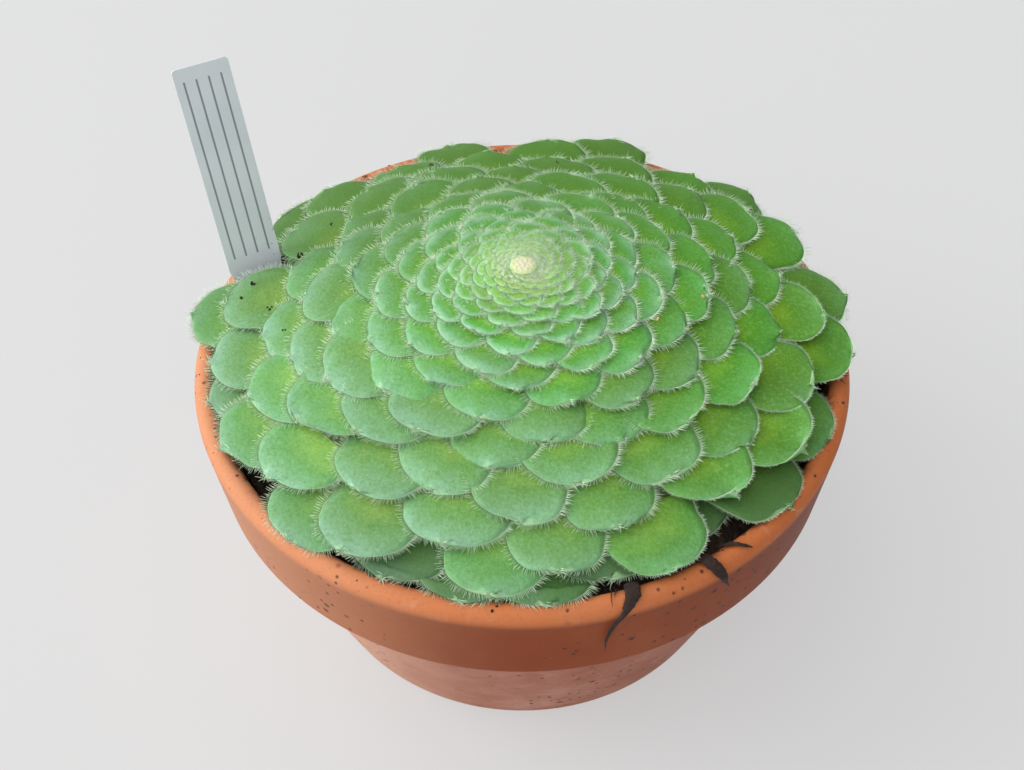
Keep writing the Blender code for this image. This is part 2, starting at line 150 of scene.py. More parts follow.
WILTED_TWIG = ((304.4, -0.0030, 0.0005, 0.0004), (306.0, -0.0010, 0.0007, 0.0005),
               (307.2, 0.0010, 0.0005, 0.0004), (308.4, 0.0030, 0.0004, 0.0003))

# Fine roots on the lip: direction and way over the lip where each starts, and where it ends
FINE_ROOTS = ((284.6, -0.0060, 283.6, 0.0030), (285.4, -0.0050, 284.3, 0.0005),
              (349.5, -0.0060, 351.0, 0.0030), (353.0, -0.0050, 354.5, 0.0040),
              (351.8, -0.0060, 348.6, 0.0020), (356.0, -0.0050, 355.2, 0.0025),
              (230.0, -0.0060, 233.5, -0.0010), (247.0, -0.0070, 244.5, -0.0005),
              (292.0, -0.0070, 294.5, -0.0015), (318.0, -0.0070, 315.0, -0.0010),
              (205.0, -0.0060, 207.5, 0.0005), (262.0, -0.0065, 264.0, 0.0000))

# Bits of dirt and tan flecks on the leaves: x, y and size
LEAF_BITS = ((-0.0692, 0.0251, 0.0011), (-0.0842, 0.0173, 0.0008), (-0.0873, 0.0118, 0.0007),
             (-0.0763, 0.0034, 0.0008), (-0.0705, -0.0076, 0.0006), (-0.0610, 0.0400, 0.0007),
             (-0.0300, 0.0720, 0.0006), (0.0120, 0.0700, 0.0006))
TAN_FLECKS = ((0.0541, -0.0001, 0.0009), (0.0395, -0.0124, 0.0008))
SOIL_CRUMBS = 620
LIP_CRUMBS = 260

# What every leaf carries into the node trees
LEAF_VALUES = ("turn", "tip", "root", "number", "layer", "half", "tone", "bend", "curl", "blunt", "fold",
               "age", "hair")

# Camera: distance and place worked out from the pot's outline, focal length in pixels of a 1024 wide frame
FRAME_WIDTH = 1024
FOCAL_PIXELS = 1300
SENSOR_WIDTH = 36.0
CAMERA_DISTANCE = 0.4004
CAMERA_ELEVATION = math.radians(45.65)
CAMERA_PAN = math.radians(0.42)
CAMERA_TILT = math.radians(-1.99)
CAMERA_ROLL = math.radians(0.25)

# World light: direction of its bright side, its weakest strength and what the bright side adds
BRIGHT_SIDE = Vector((-0.70, -0.22, 0.68))
WORLD_BASE = 0.19
WORLD_LOBE = 1.38


class Field:
    """A value in a node tree that formulas can be written with."""

    def __init__(self, tree, socket):
        self.tree = tree
        self.socket = socket

    def math(self, operation, *others):
        node = self.tree.nodes.new("ShaderNodeMath")
        node.operation = operation
        for socket, value in zip(node.inputs, (self,) + others):
            plug(self.tree, socket, value)
        return Field(self.tree, node.outputs[0])

    def __add__(self, other):
        return self.math("ADD", other)

    __radd__ = __add__

    def __sub__(self, other):
        return self.math("SUBTRACT", other)

    def __rsub__(self, other):
        return (self * -1.0) + other

    def __mul__(self, other):
        return self.math("MULTIPLY", other)

    __rmul__ = __mul__

    def __truediv__(self, other):
        return self.math("DIVIDE", other)

    def __rtruediv__(self, other):
        return (self ** -1.0) * other

    def __pow__(self, other):
        return self.math("POWER", other)

    def low(self, other):
        return self.math("MINIMUM", other)

    def high(self, other):
        return self.math("MAXIMUM", other)

    def absolute(self):
        return self.math("ABSOLUTE")

    def over(self, limit):
        return self.math("GREATER_THAN", limit)

    def smooth(self, start, end):
        """0 below start, 1 over end, with a smooth step between."""
        node = self.tree.nodes.new("ShaderNodeMapRange")
        node.interpolation_type = "SMOOTHSTEP"
        plug(self.tree, node.inputs["Value"], self)
        plug(self.tree, node.inputs["From Min"], start)
        plug(self.tree, node.inputs["From Max"], end)
        return Field(self.tree, node.outputs["Result"])


def plug(tree, socket, value):
    """Link a field or a socket to an input, or set the input to a constant."""
    if isinstance(value, Field):
        tree.links.new(value.socket, socket)
    elif isinstance(value, bpy.types.NodeSocket):
        tree.links.new(value, socket)
    else:
        socket.default_value = value


def add_node(tree, kind, settings=None, **inputs):
    """Add a node, set its properties and plug its inputs, named with _ for a space."""
    node = tree.nodes.new(kind)
    for name, value in (settings or {}).items():
        setattr(node, name, value)
    for name, value in inputs.items():
        plug(tree, node.inputs[name.replace("_", " ")], value)
    return node


def combine(tree, x, y, z):
    """A vector field from three fields."""
    return add_node(tree, "ShaderNodeCombineXYZ", X=x, Y=y, Z=z).outputs[0]


def separate(tree, vector):
    """Three fields from a vector."""
    node = add_node(tree, "ShaderNodeSeparateXYZ", Vector=vector)
    return [Field(tree, output) for output in node.outputs]


def noise(tree, vector, scale, detail=2.0, roughness=0.5):
    """A noise field between 0 and 1."""
    node = add_node(tree, "ShaderNodeTexNoise", Vector=vector, Scale=scale, Detail=detail,
                    Roughness=roughness)
    return Field(tree, node.outputs[0])


def vector_math(tree, operation, *values, scale=None):
    """A vector operation."""
    node = tree.nodes.new("ShaderNodeVectorMath")
    node.operation = operation
    for socket, value in zip(node.inputs, values):
        plug(tree, socket, value)
    if scale is not None:
        plug(tree, node.inputs["Scale"], scale)
    return node


def tip_radius(index):
    """Radius of the tip of leaf number index."""
    if index < HEART_INDEX:
        return HEART_RADIUS * math.exp((index - HEART_INDEX) / HEART_GROWTH)
    return RIM_RADIUS * ((index - INDEX_SHIFT) / INDEX_SPREAD) ** (1 / GROWTH_POWER)


def layer_at(radius):
    """Layer of the leaf whose tip is at a radius: layers grow with the radius, from 0 in the middle."""
    if radius < HEART_RADIUS:
        return HEART_GROWTH * radius / HEART_RADIUS
    share = radius / RIM_RADIUS
    return HEART_GROWTH + INDEX_SHIFT + INDEX_SPREAD * share ** GROWTH_POWER - HEART_INDEX


def leaf_layer(index):
    """Layer of leaf number index."""
    return layer_at(tip_radius(index))


def dome_height(radius):
    """Height of the rosette's dome at a radius from its own axis."""
    share = 1 - (radius / RIM_RADIUS) ** DOME_POWER
    return POT_HEIGHT + EDGE_HEIGHT + (APEX_HEIGHT - EDGE_HEIGHT) * share


def leaf_height(x, y):
    """Height of the dome over a place."""
    return dome_height((Vector((x, y, 0.0)) - CENTRE).length)


def core_depth(radius):
    """How far the crown lies under the dome."""
    return min(CORE_DEPTH, CORE_APEX_DEPTH + CORE_DEPTH_SLOPE * max(0.0, radius - 0.002))


def root_radius(index, tip):
    """Radius at which a leaf is sunk into the crown."""
    radius = min(tip, CORE_EDGE_RADIUS - ROOT_SINK)
    layer = leaf_layer(index)
    while radius > 0.0006 and LAYER * (layer - layer_at(radius)) < core_depth(radius) + ROOT_SINK:
        radius -= 0.0002
    return max(radius, tip * 0.25)


def leaf_width(tip):
    """Width of a leaf by the radius of its tip: in the heart in proportion, outside ever slower."""
    return min(LEAF_WIDTH * (1 - math.exp(-tip / WIDTH_GROWTH)), HEART_WIDTH * tip)


def leaf_list():
    """Number, direction, tip radius and width scale of every leaf."""
    draw = random.Random(11)
    leaves = []
    for index in range(FIRST_LEAF, LAST_LEAF + 1):
        turn = START_TURN + index * TURN + draw.uniform(-TURN_SCATTER, TURN_SCATTER)
        turn += math.radians(ODD_TURN.get(index, 0.0))
        scatter = REACH_SCATTER if index >= FULL_BLADE_INDEX else 0.0
        tip = tip_radius(index) + draw.uniform(-scatter, scatter)
        width = 1 + draw.uniform(-WIDTH_SCATTER, WIDTH_SCATTER)
        if index not in WITHERED:
            leaves.append((index, turn, ODD_REACH.get(index, tip), width))
    for number, direction, tip in ADDED_LEAVES:
        leaves.append((number, math.radians(direction), tip, 1.0))
    for index in range(SMALLEST_LEAF, FIRST_LEAF):
        leaves.append((index, START_TURN + index * TURN, tip_radius(index), 1.0))
    return leaves


def new_object(name, mesh):
    """Link a mesh to the scene as an object at the origin."""
    item = bpy.data.objects.new(name, mesh)
    bpy.context.scene.collection.objects.link(item)
    return item


def applied_mesh(item):
    """The mesh that an object's modifiers give."""
    bpy.context.view_layer.update()
    graph = bpy.context.evaluated_depsgraph_get()
    return bpy.data.meshes.new_from_object(item.evaluated_get(graph))


def plain_copy(item, name):
    """Turn an object with its modifiers into a plain mesh object at the origin."""
    mesh = applied_mesh(item)
    mesh.transform(item.matrix_world)
    mesh.name = name
    bpy.data.objects.remove(item, do_unlink=True)
    return new_object(name, mesh)


def grow(name, tree, carrier, values, material):
    """Run a Geometry Nodes tree on a carrier mesh and keep the result as a plain mesh."""
    item = new_object(name + "_carrier", carrier)
    modifier = item.modifiers.new("Grow", "NODES")
    modifier.node_group = tree
    sockets = {socket.name: socket.identifier for socket in tree.interface.items_tree
               if socket.item_type == "SOCKET" and socket.in_out == "INPUT"}
    for label, value in values.items():
        modifier[sockets[label]] = value
    modifier[sockets["Material"]] = material
    piece = plain_copy(item, name)
    piece.data.shade_smooth()
    return piece


def new_tree(name, inputs):
    """A Geometry Nodes tree with a carrier, named size inputs and a material."""
    tree = bpy.data.node_groups.new(name, "GeometryNodeTree")
    tree.interface.new_socket("Geometry", in_out="INPUT", socket_type="NodeSocketGeometry")
    for label, value in inputs.items():
        kind = "NodeSocketInt" if isinstance(value, int) else "NodeSocketFloat"
        tree.interface.new_socket(label, in_out="INPUT", socket_type=kind).default_value = value
    tree.interface.new_socket("Material", in_out="INPUT", socket_type="NodeSocketMaterial")
    tree.interface.new_socket("Geometry", in_out="OUTPUT", socket_type="NodeSocketGeometry")
    return tree, tree.nodes.new("NodeGroupInput")


def close_tree(tree, entry, geometry):
    """End a tree in Realize Instances and Set Material."""
    real = add_node(tree, "GeometryNodeRealizeInstances", Geometry=geometry)
    finish = add_node(tree, "GeometryNodeSetMaterial", Geometry=real.outputs[0],
                      Material=entry.outputs["Material"])
    out = tree.nodes.new("NodeGroupOutput")
    tree.links.new(finish.outputs[0], out.inputs[0])


def carrier_mesh(name, leaves):
    """One vertex for each leaf, with its own values as attributes."""
    mesh = bpy.data.meshes.new(name)
    mesh.from_pydata([(0.0, 0.0, 0.0) for _ in leaves], [], [])
    draw = random.Random(29)
    columns = {label: [] for label in LEAF_VALUES}
    for index, turn, tip, width in leaves:
        row = {"turn": turn, "tip": tip, "root": root_radius(index, tip), "number": index,
               "layer": leaf_layer(index),
               "half": 0.5 * leaf_width(tip) * width, "tone": draw.random(), "bend": draw.uniform(-1, 1),
               "curl": draw.uniform(-1, 1), "blunt": draw.uniform(1.8, 2.8), "fold": FOLDED.get(index, 0.0),
               "age": 1.0 if index in OLD_LEAVES else min(1.0, max(0.0, (index - 150) / 60)),
               "hair": 0.45 if index in SMOOTH_LEAVES else 1.0}
        for label, value in row.items():
            columns[label].append(value)
    for label, values in columns.items():
        mesh.attributes.new(label, "FLOAT", "POINT").data.foreach_set("value", values)
    return mesh


def stored(tree, label):
    """A named float attribute as a field."""
    node = add_node(tree, "GeometryNodeInputNamedAttribute", {"data_type": "FLOAT"}, Name=label)
    return Field(tree, node.outputs["Attribute"])


def store(tree, geometry, label, value, kind="FLOAT"):
    """Keep a value on the geometry under a name."""
    node = add_node(tree, "GeometryNodeStoreNamedAttribute", {"data_type": kind, "domain": "POINT"},
                    Geometry=geometry, Name=label, Value=value)
    return node.outputs[0]


def dome_field(radius):
    """dome_height as a node formula."""
    share = 1.0 - (radius / RIM_RADIUS) ** DOME_POWER
    return share * (APEX_HEIGHT - EDGE_HEIGHT) + (POT_HEIGHT + EDGE_HEIGHT)


def layer_field(radius):
    """layer_at as a node formula."""
    outer = (radius / RIM_RADIUS) ** GROWTH_POWER * INDEX_SPREAD + (HEART_GROWTH + INDEX_SHIFT - HEART_INDEX)
    inner = radius * (HEART_GROWTH / HEART_RADIUS)
    outside = radius.over(HEART_RADIUS)
    return outer * outside + inner * (1.0 - outside)


def blade_surface(tree, entry, leaf, share, side):
    """Place of a point of the blade: share runs from the root to the tip, side across it."""
    half = leaf["half"]
    length = leaf["tip"] - leaf["root"]
    from_tip = length * (1.0 - share)
    rest = (1.0 - from_tip / (half * 0.86)).high(0.0)
    head = (1.0 - rest ** leaf["blunt"]).high(0.0) ** (1.0 / leaf["blunt"])
    neck = 1.0 - (from_tip / half).smooth(1.2, 4.2) * 0.42
    outline = combine(tree, leaf["number"] * 3.7, side * 1.3, from_tip / half * 1.5)
    uneven = (noise(tree, outline, 1.0, 2.0) - 0.5) * entry.outputs["Uneven"] + 1.0
    width = half * head * neck * uneven
    nib = (1.0 - (from_tip / 0.0018).low(1.0)) * entry.outputs["Nib"]
    narrow = (1.0 - side.absolute() * 3.2).high(0.0)
    scale = (half / 0.0131).low(1.0)
    lobes = noise(tree, combine(tree, leaf["number"] * 5.3, side * 1.7, 0.0), 1.0, 2.0) - 0.5
    lobes = lobes * (1.0 - (from_tip / half).low(1.0)) * half * entry.outputs["Lobes"]
    reach = leaf["root"] + length * share + nib * narrow * scale + lobes
    swing = (1.0 - (from_tip / (half * 2.2)).low(1.0)) ** 2.0 * leaf["bend"] * half * 0.16
    across = side * width + swing
    cosine = leaf["turn"].math("COSINE")
    sine = leaf["turn"].math("SINE")
    x = cosine * reach - sine * across
    y = sine * reach + cosine * across
    radius = (x * x + y * y).math("SQRT")
    depth = (leaf["layer"] - layer_field(radius)) * entry.outputs["Layer"]
    arch = side * side * entry.outputs["Arch"] * (leaf["curl"] * 0.9 + 0.7) * scale
    droop = (1.0 - (from_tip / (half * 0.85)).low(1.0)) ** 2.0
    droop = droop * entry.outputs["Droop"] * (leaf["bend"] * 0.8 + 0.6) * scale
    place = combine(tree, x, y, leaf["number"] * 0.37)
    ripple = noise(tree, place, 110.0, 1.5) - 0.5
    swell = noise(tree, place, 45.0, 0.0) - 0.5
    edge = side.absolute() ** 2.0 * 0.8 + (1.0 - (from_tip / 0.004).low(1.0)) * 0.7
    waves = (ripple * edge * 1.6 + swell) * entry.outputs["Wave"] * scale
    fold = side.absolute() * (1.0 - (from_tip / (half * 1.6)).low(1.0)) * leaf["fold"] * half
    z = dome_field(radius) - depth - arch - droop + waves + fold
    return x, y, z, width, from_tip


def leaf_tree(across, along):
    """Tree that puts a blade on every carrier vertex and bends it onto its layer of the dome."""
    tree, entry = new_tree("Leaves", {"Layer": LAYER, "Arch": 0.0010, "Droop": 0.0012, "Nib": 0.0009,
                                      "Wave": 0.0013, "Uneven": 0.22, "Lobes": 0.42, "Thickness": 0.0011})
    block = add_node(tree, "GeometryNodeMeshCube", Vertices_X=across, Vertices_Y=along, Vertices_Z=2)
    block.inputs["Size"].default_value = (2.0, 1.0, 1.0)
    spread = add_node(tree, "GeometryNodeInstanceOnPoints", Points=entry.outputs["Geometry"],
                      Instance=block.outputs["Mesh"])
    real = add_node(tree, "GeometryNodeRealizeInstances", Geometry=spread.outputs[0])
    grid_x, grid_y, grid_z = separate(tree, tree.nodes.new("GeometryNodeInputPosition").outputs[0])
    share = ((grid_y + 0.5) * (math.pi / 2)).math("SINE")
    geometry = store(tree, real.outputs[0], "share", share)
    geometry = store(tree, geometry, "side", grid_x)
    geometry = store(tree, geometry, "level", grid_z)
    leaf = {label: stored(tree, label) for label in LEAF_VALUES}
    share, side, level = (stored(tree, label) for label in ("share", "side", "level"))
    x, y, z, width, from_tip = blade_surface(tree, entry, leaf, share, side)
    rim = ((1.0 - side.absolute() ** 2.6).high(0.0)) ** 0.5
    end = ((from_tip / (leaf["half"] * 0.28)).low(1.0)) ** 0.5
    body = rim * end * 0.85 + 0.15
    scale = (leaf["half"] / 0.0100).low(1.0) * 0.45 + 0.55
    thickness = body * entry.outputs["Thickness"] * scale
    z_top = z - thickness * (0.5 - level)
    over_lip = ((x + CENTRE.x) ** 2.0 + (y + CENTRE.y) ** 2.0).math("SQRT").over(INNER_RIM_RADIUS - 0.002)
    floor = over_lip * (POT_HEIGHT + LIP_CLEARANCE) + (1.0 - over_lip) * (POT_HEIGHT - 0.006)
    z_top = z_top.high(floor + (level + 0.5) * thickness)
    inner = blade_surface(tree, entry, leaf, share * 0.90, side * 0.80)
    outward = combine(tree, x - inner[0], y - inner[1], z - inner[2])
    geometry = store(tree, geometry, "outward", outward, "FLOAT_VECTOR")
    edge = ((1.0 - side.absolute()) * width).low(from_tip * 0.9)
    geometry = store(tree, geometry, "edge", edge)
    geometry = store(tree, geometry, "from_tip", from_tip / (leaf["half"] * 1.9))
    place = combine(tree, x + CENTRE.x, y + CENTRE.y, z_top)
    placed = add_node(tree, "GeometryNodeSetPosition", Geometry=geometry, Position=place)
    merged = add_node(tree, "GeometryNodeMergeByDistance", Geometry=placed.outputs[0], Distance=0.000004)
    close_tree(tree, entry, merged.outputs[0])
    return tree


def fringe_tree():
    """Tree that stands fine hairs along the margin of every blade, square to it."""
    tree, entry = new_tree("Fringe", {"Spacing": 0.00052, "Length": 0.0023, "Root": 0.00010, "Lift": 0.30,
                                      "Seed": 5})
    level = stored(tree, "level")
    side = stored(tree, "side")
    share = stored(tree, "share")
    from_tip = stored(tree, "from_tip")
    half = stored(tree, "half")
    rim = (side.absolute().over(0.999) + share.over(0.9995)).low(1.0)
    shown = rim * level.over(0.0) * (1.0 - from_tip.over(0.95))
    line = add_node(tree, "GeometryNodeMeshToCurve", Mesh=entry.outputs["Geometry"], Selection=shown)
    rows = add_node(tree, "GeometryNodeResampleCurve", {"mode": "LENGTH"}, Curve=line.outputs[0],
                    Length=entry.outputs["Spacing"])
    hair = add_node(tree, "GeometryNodeMeshCone", {"fill_type": "NGON"}, Vertices=3, Side_Segments=1,
                    Radius_Top=0.00003, Radius_Bottom=entry.outputs["Root"], Depth=entry.outputs["Length"])
    outward = add_node(tree, "GeometryNodeInputNamedAttribute", {"data_type": "FLOAT_VECTOR"},
                       Name="outward")
    tangent = tree.nodes.new("GeometryNodeInputTangent").outputs[0]
    along = vector_math(tree, "DOT_PRODUCT", outward.outputs["Attribute"], tangent).outputs["Value"]
    lengthwise = vector_math(tree, "SCALE", tangent, scale=Field(tree, along) * 0.8).outputs[0]
    square = vector_math(tree, "SUBTRACT", outward.outputs["Attribute"], lengthwise).outputs[0]
    unit = vector_math(tree, "NORMALIZE", square).outputs[0]
    spray = add_node(tree, "FunctionNodeRandomValue", {"data_type": "FLOAT_VECTOR"})
    spray.inputs[0].default_value = (-0.22, -0.22, -0.30)
    spray.inputs[1].default_value = (0.22, 0.22, 0.35)
    plug(tree, spray.inputs["Seed"], entry.outputs["Seed"])
    lifted = vector_math(tree, "ADD", unit, combine(tree, 0.0, 0.0, entry.outputs["Lift"])).outputs[0]
    lean = vector_math(tree, "ADD", lifted, spray.outputs[0]).outputs[0]
    turn = add_node(tree, "FunctionNodeAlignRotationToVector", {"axis": "Z"}, Vector=lean)
    size = add_node(tree, "FunctionNodeRandomValue", {"data_type": "FLOAT"})
    size.inputs[2].default_value = 0.5
    size.inputs[3].default_value = 1.2
    grown = (half / 0.0131).low(1.0) * 0.35 + 0.65
    scale = Field(tree, size.outputs[1]) * grown * stored(tree, "hair")
    stand = add_node(tree, "GeometryNodeInstanceOnPoints", Points=rows.outputs[0],
                     Instance=hair.outputs["Mesh"], Rotation=turn.outputs[0],
                     Scale=combine(tree, grown, grown, scale))
    close_tree(tree, entry, stand.outputs[0])
    return tree


def arc(centre_x, centre_z, radius, start, end, steps):
    """Points of an arc in a profile's plane, angles in degrees."""
    points = []
    for step in range(steps + 1):
        angle = math.radians(start + (end - start) * step / steps)
        points.append((centre_x + radius * math.cos(angle), centre_z + radius * math.sin(angle)))
    return points


def stretch(start, end, steps):
    """Points of a straight run, the last one left out."""
    return [(start[0] + (end[0] - start[0]) * i / steps, start[1] + (end[1] - start[1]) * i / steps)
            for i in range(steps)]


def turned(name, profile, sides, place=Vector()):
    """Turn a profile about Z with a Screw modifier and keep the plain mesh."""
    mesh = bpy.data.meshes.new(name)
    mesh.from_pydata([(x, 0.0, z) for x, z in profile], [(i, i + 1) for i in range(len(profile) - 1)], [])
    item = new_object(name, mesh)
    item.location = place
    screw = item.modifiers.new("Turn", "SCREW")
    screw.steps = sides
    screw.render_steps = sides
    screw.use_merge_vertices = True
    screw.merge_threshold = 0.00001
    piece = plain_copy(item, name)
    piece.data.shade_smooth()
    return piece


def inner_wall_radius(z):
    """Radius of the pot's inner wall at a height."""
    lip_foot = POT_HEIGHT - LIP_INNER_ROUND
    if z > COLLAR_FOOT:
        share = (z - COLLAR_FOOT) / (lip_foot - COLLAR_FOOT)
        return INNER_COLLAR_RADIUS + share * (INNER_RIM_RADIUS - INNER_COLLAR_RADIUS)
    share = (z - FLOOR_THICKNESS) / (COLLAR_FOOT - FLOOR_THICKNESS)
    return INNER_FLOOR_RADIUS + share * (INNER_COLLAR_RADIUS - INNER_FLOOR_RADIUS)


def make_pot(material):
    """The turned pot with soft edges, a rounded collar and three drain holes."""
    inner_lip = POT_HEIGHT - LIP_INNER_ROUND
    outer_lip = POT_HEIGHT - LIP_OUTER_ROUND
    undercut = COLLAR_FOOT - UNDERCUT_ROUND
    foot = COLLAR_FOOT + COLLAR_FOOT_ROUND
    profile = stretch((0.0, FLOOR_THICKNESS), (INNER_FLOOR_RADIUS, FLOOR_THICKNESS), 6)
    profile += stretch((INNER_FLOOR_RADIUS, FLOOR_THICKNESS), (INNER_COLLAR_RADIUS, COLLAR_FOOT), 6)
    profile += stretch((INNER_COLLAR_RADIUS, COLLAR_FOOT), (INNER_RIM_RADIUS, inner_lip), 8)
    profile += arc(INNER_RIM_RADIUS + LIP_INNER_ROUND, inner_lip, LIP_INNER_ROUND, 180, 90, 8)
    profile += arc(RIM_RADIUS - LIP_OUTER_ROUND, outer_lip, LIP_OUTER_ROUND, 90, 0, 9)[1:]
    profile += stretch((RIM_RADIUS, outer_lip), (COLLAR_FOOT_RADIUS, foot), 12)[1:]
    profile += arc(COLLAR_FOOT_RADIUS - COLLAR_FOOT_ROUND, foot, COLLAR_FOOT_ROUND, 0, -90, 6)
    profile += arc(BODY_TOP_RADIUS + UNDERCUT_ROUND, undercut, UNDERCUT_ROUND, 90, 180, 3)
    profile += stretch((BODY_TOP_RADIUS, COLLAR_FOOT - 0.0014), (BASE_RADIUS + 0.0005, BASE_ROUND), 20)[1:]
    profile += arc(BASE_RADIUS - 0.0012, BASE_ROUND, BASE_ROUND, 0, -90, 4)
    profile += stretch((BASE_RADIUS - BASE_ROUND, 0.0), (0.0, 0.0), 5)[1:] + [(0.0, 0.0)]
    pot = turned("terracotta_pot", profile, POT_SIDES)
    for hole in range(DRAIN_HOLES):
        angle = 2 * math.pi * hole / DRAIN_HOLES + math.pi / 2
        cut_hole(pot, Vector((math.cos(angle), math.sin(angle), 0.0)) * DRAIN_CIRCLE_RADIUS)
    pot.data.materials.append(material)
    pot.data.set_sharp_from_angle(angle=math.radians(40))
    return pot


def cut_hole(item, place):
    """Cut a round drain hole through the floor."""
    mesh = bpy.data.meshes.new("hole")
    form = bmesh.new()
    bmesh.ops.create_cone(form, cap_ends=True, segments=32, radius1=DRAIN_RADIUS, radius2=DRAIN_RADIUS,
                          depth=0.03)
    bmesh.ops.translate(form, verts=form.verts[:], vec=place)
    form.to_mesh(mesh)
    form.free()
    cutter = new_object("hole", mesh)
    boolean = item.modifiers.new("Hole", "BOOLEAN")
    boolean.operation = "DIFFERENCE"
    boolean.object = cutter
    boolean.solver = "EXACT"
    solid = applied_mesh(item)
    item.modifiers.clear()
    item.data = solid
    bpy.data.objects.remove(cutter, do_unlink=True)


def make_crown(material):
    """The crown under the leaves, with a socket for the stem."""
    underside = POT_HEIGHT - 0.0040
    socket_top = underside + STEM_SOCKET_DEPTH
    radii = [0.0, 0.002] + [0.004 + i * 0.004 for i in range(20)]
    profile = [(r, dome_height(r) - core_depth(r) - 0.0006) for r in radii if r < CORE_EDGE_RADIUS]
    profile += [(CORE_EDGE_RADIUS, POT_HEIGHT + 0.001), (0.060, underside), (STEM_SOCKET_RADIUS, underside)]
    profile += [(STEM_SOCKET_RADIUS, socket_top), (0.0, socket_top)]
    crown = turned("crown", profile, 64, CENTRE)
    crown.data.materials.append(material)
    return crown


def make_bud(material):
    """Pale bud in the middle of the heart, lumpy with the tips of the youngest leaves."""
    mesh = bpy.data.meshes.new("heart_bud")
    form = bmesh.new()
    bmesh.ops.create_icosphere(form, subdivisions=5, radius=1.0)
    draw = random.Random(3)
    lumps = []
    for count in range(26):
        angle = count * TURN
        lumps.append((math.cos(angle) * 0.19 * math.sqrt(count), math.sin(angle) * 0.19 * math.sqrt(count),
                      draw.uniform(0.10, 0.24)))
    for vertex in form.verts:
        x, y, z = vertex.co
        near = max(size * math.exp(-((x - u) ** 2 + (y - v) ** 2) / 0.016) for u, v, size in lumps)
        lift = z * 0.16 + near * max(0.0, z) * 0.38
        vertex.co = CENTRE + Vector((x * BUD_RADIUS, y * BUD_RADIUS, 0.0))
        vertex.co.z = dome_height(0.0) - 0.0003 + lift * BUD_RADIUS
    form.to_mesh(mesh)
    form.free()
    bud = new_object("heart_bud", mesh)
    mesh.materials.append(material)
    mesh.shade_smooth()
    return bud


def make_soil(material):
    """Soil that fills the pot, crumbly on top."""
    top = SOIL_LEVEL
    bottom = FLOOR_THICKNESS + 0.0003
    edge = (inner_wall_radius(top) - SOIL_SIDE_GAP, top)
    profile = stretch((0.0, top + 0.003), (0.045, top + 0.0024), 14)
    profile += stretch((0.045, top + 0.0024), (0.075, top + 0.0009), 24)
    profile += stretch((0.075, top + 0.0009), edge, 20)
    profile += [edge, (INNER_COLLAR_RADIUS - SOIL_SIDE_GAP, COLLAR_FOOT)]
    profile += [(INNER_FLOOR_RADIUS - SOIL_SIDE_GAP, bottom), (0.0, bottom)]
    soil = turned("potting_soil", profile, 220)
    rough = bpy.data.textures.new("crumb", "CLOUDS")
    rough.noise_scale = 0.0035
    rough.noise_depth = 3
    group = soil.vertex_groups.new(name="top")
    surface = [v.index for v in soil.data.vertices if v.co.z > top - 0.0002 and v.co.xy.length > 0.012]
    group.add(surface, 1.0, "ADD")
    shape = soil.modifiers.new("Crumb", "DISPLACE")
    shape.texture = rough
    shape.vertex_group = "top"
    shape.direction = "Z"
    shape.strength = 0.004
    shape.mid_level = 0.62
    soil = plain_copy(soil, "potting_soil")
    soil.data.materials.append(material)
    return soil


def over_lip(direction, way, clearance):
    """A point held off the pot's lip: way runs over it, inward if negative, then down its side."""
    lip_round = LIP_OUTER_ROUND if way > 0 else LIP_INNER_ROUND
    turn_length = (lip_round + clearance) * math.pi / 2
    bend = min(abs(way) / turn_length, 1.0) * math.pi / 2
    down = max(abs(way) - turn_length, 0.0)
    lean = (RIM_RADIUS - COLLAR_FOOT_RADIUS) / COLLAR_HEIGHT
    if way < 0:
        lean = (INNER_RIM_RADIUS - INNER_COLLAR_RADIUS) / COLLAR_HEIGHT
    out = (lip_round + clearance) * math.sin(bend)
    centre = RIM_RADIUS - LIP_OUTER_ROUND
    radius = centre + out - lean * down if way > 0 else centre - out - lean * down
    height = POT_HEIGHT - lip_round + (lip_round + clearance) * math.cos(bend) - down
    angle = math.radians(direction)
    return Vector((radius * math.cos(angle), radius * math.sin(angle), height))


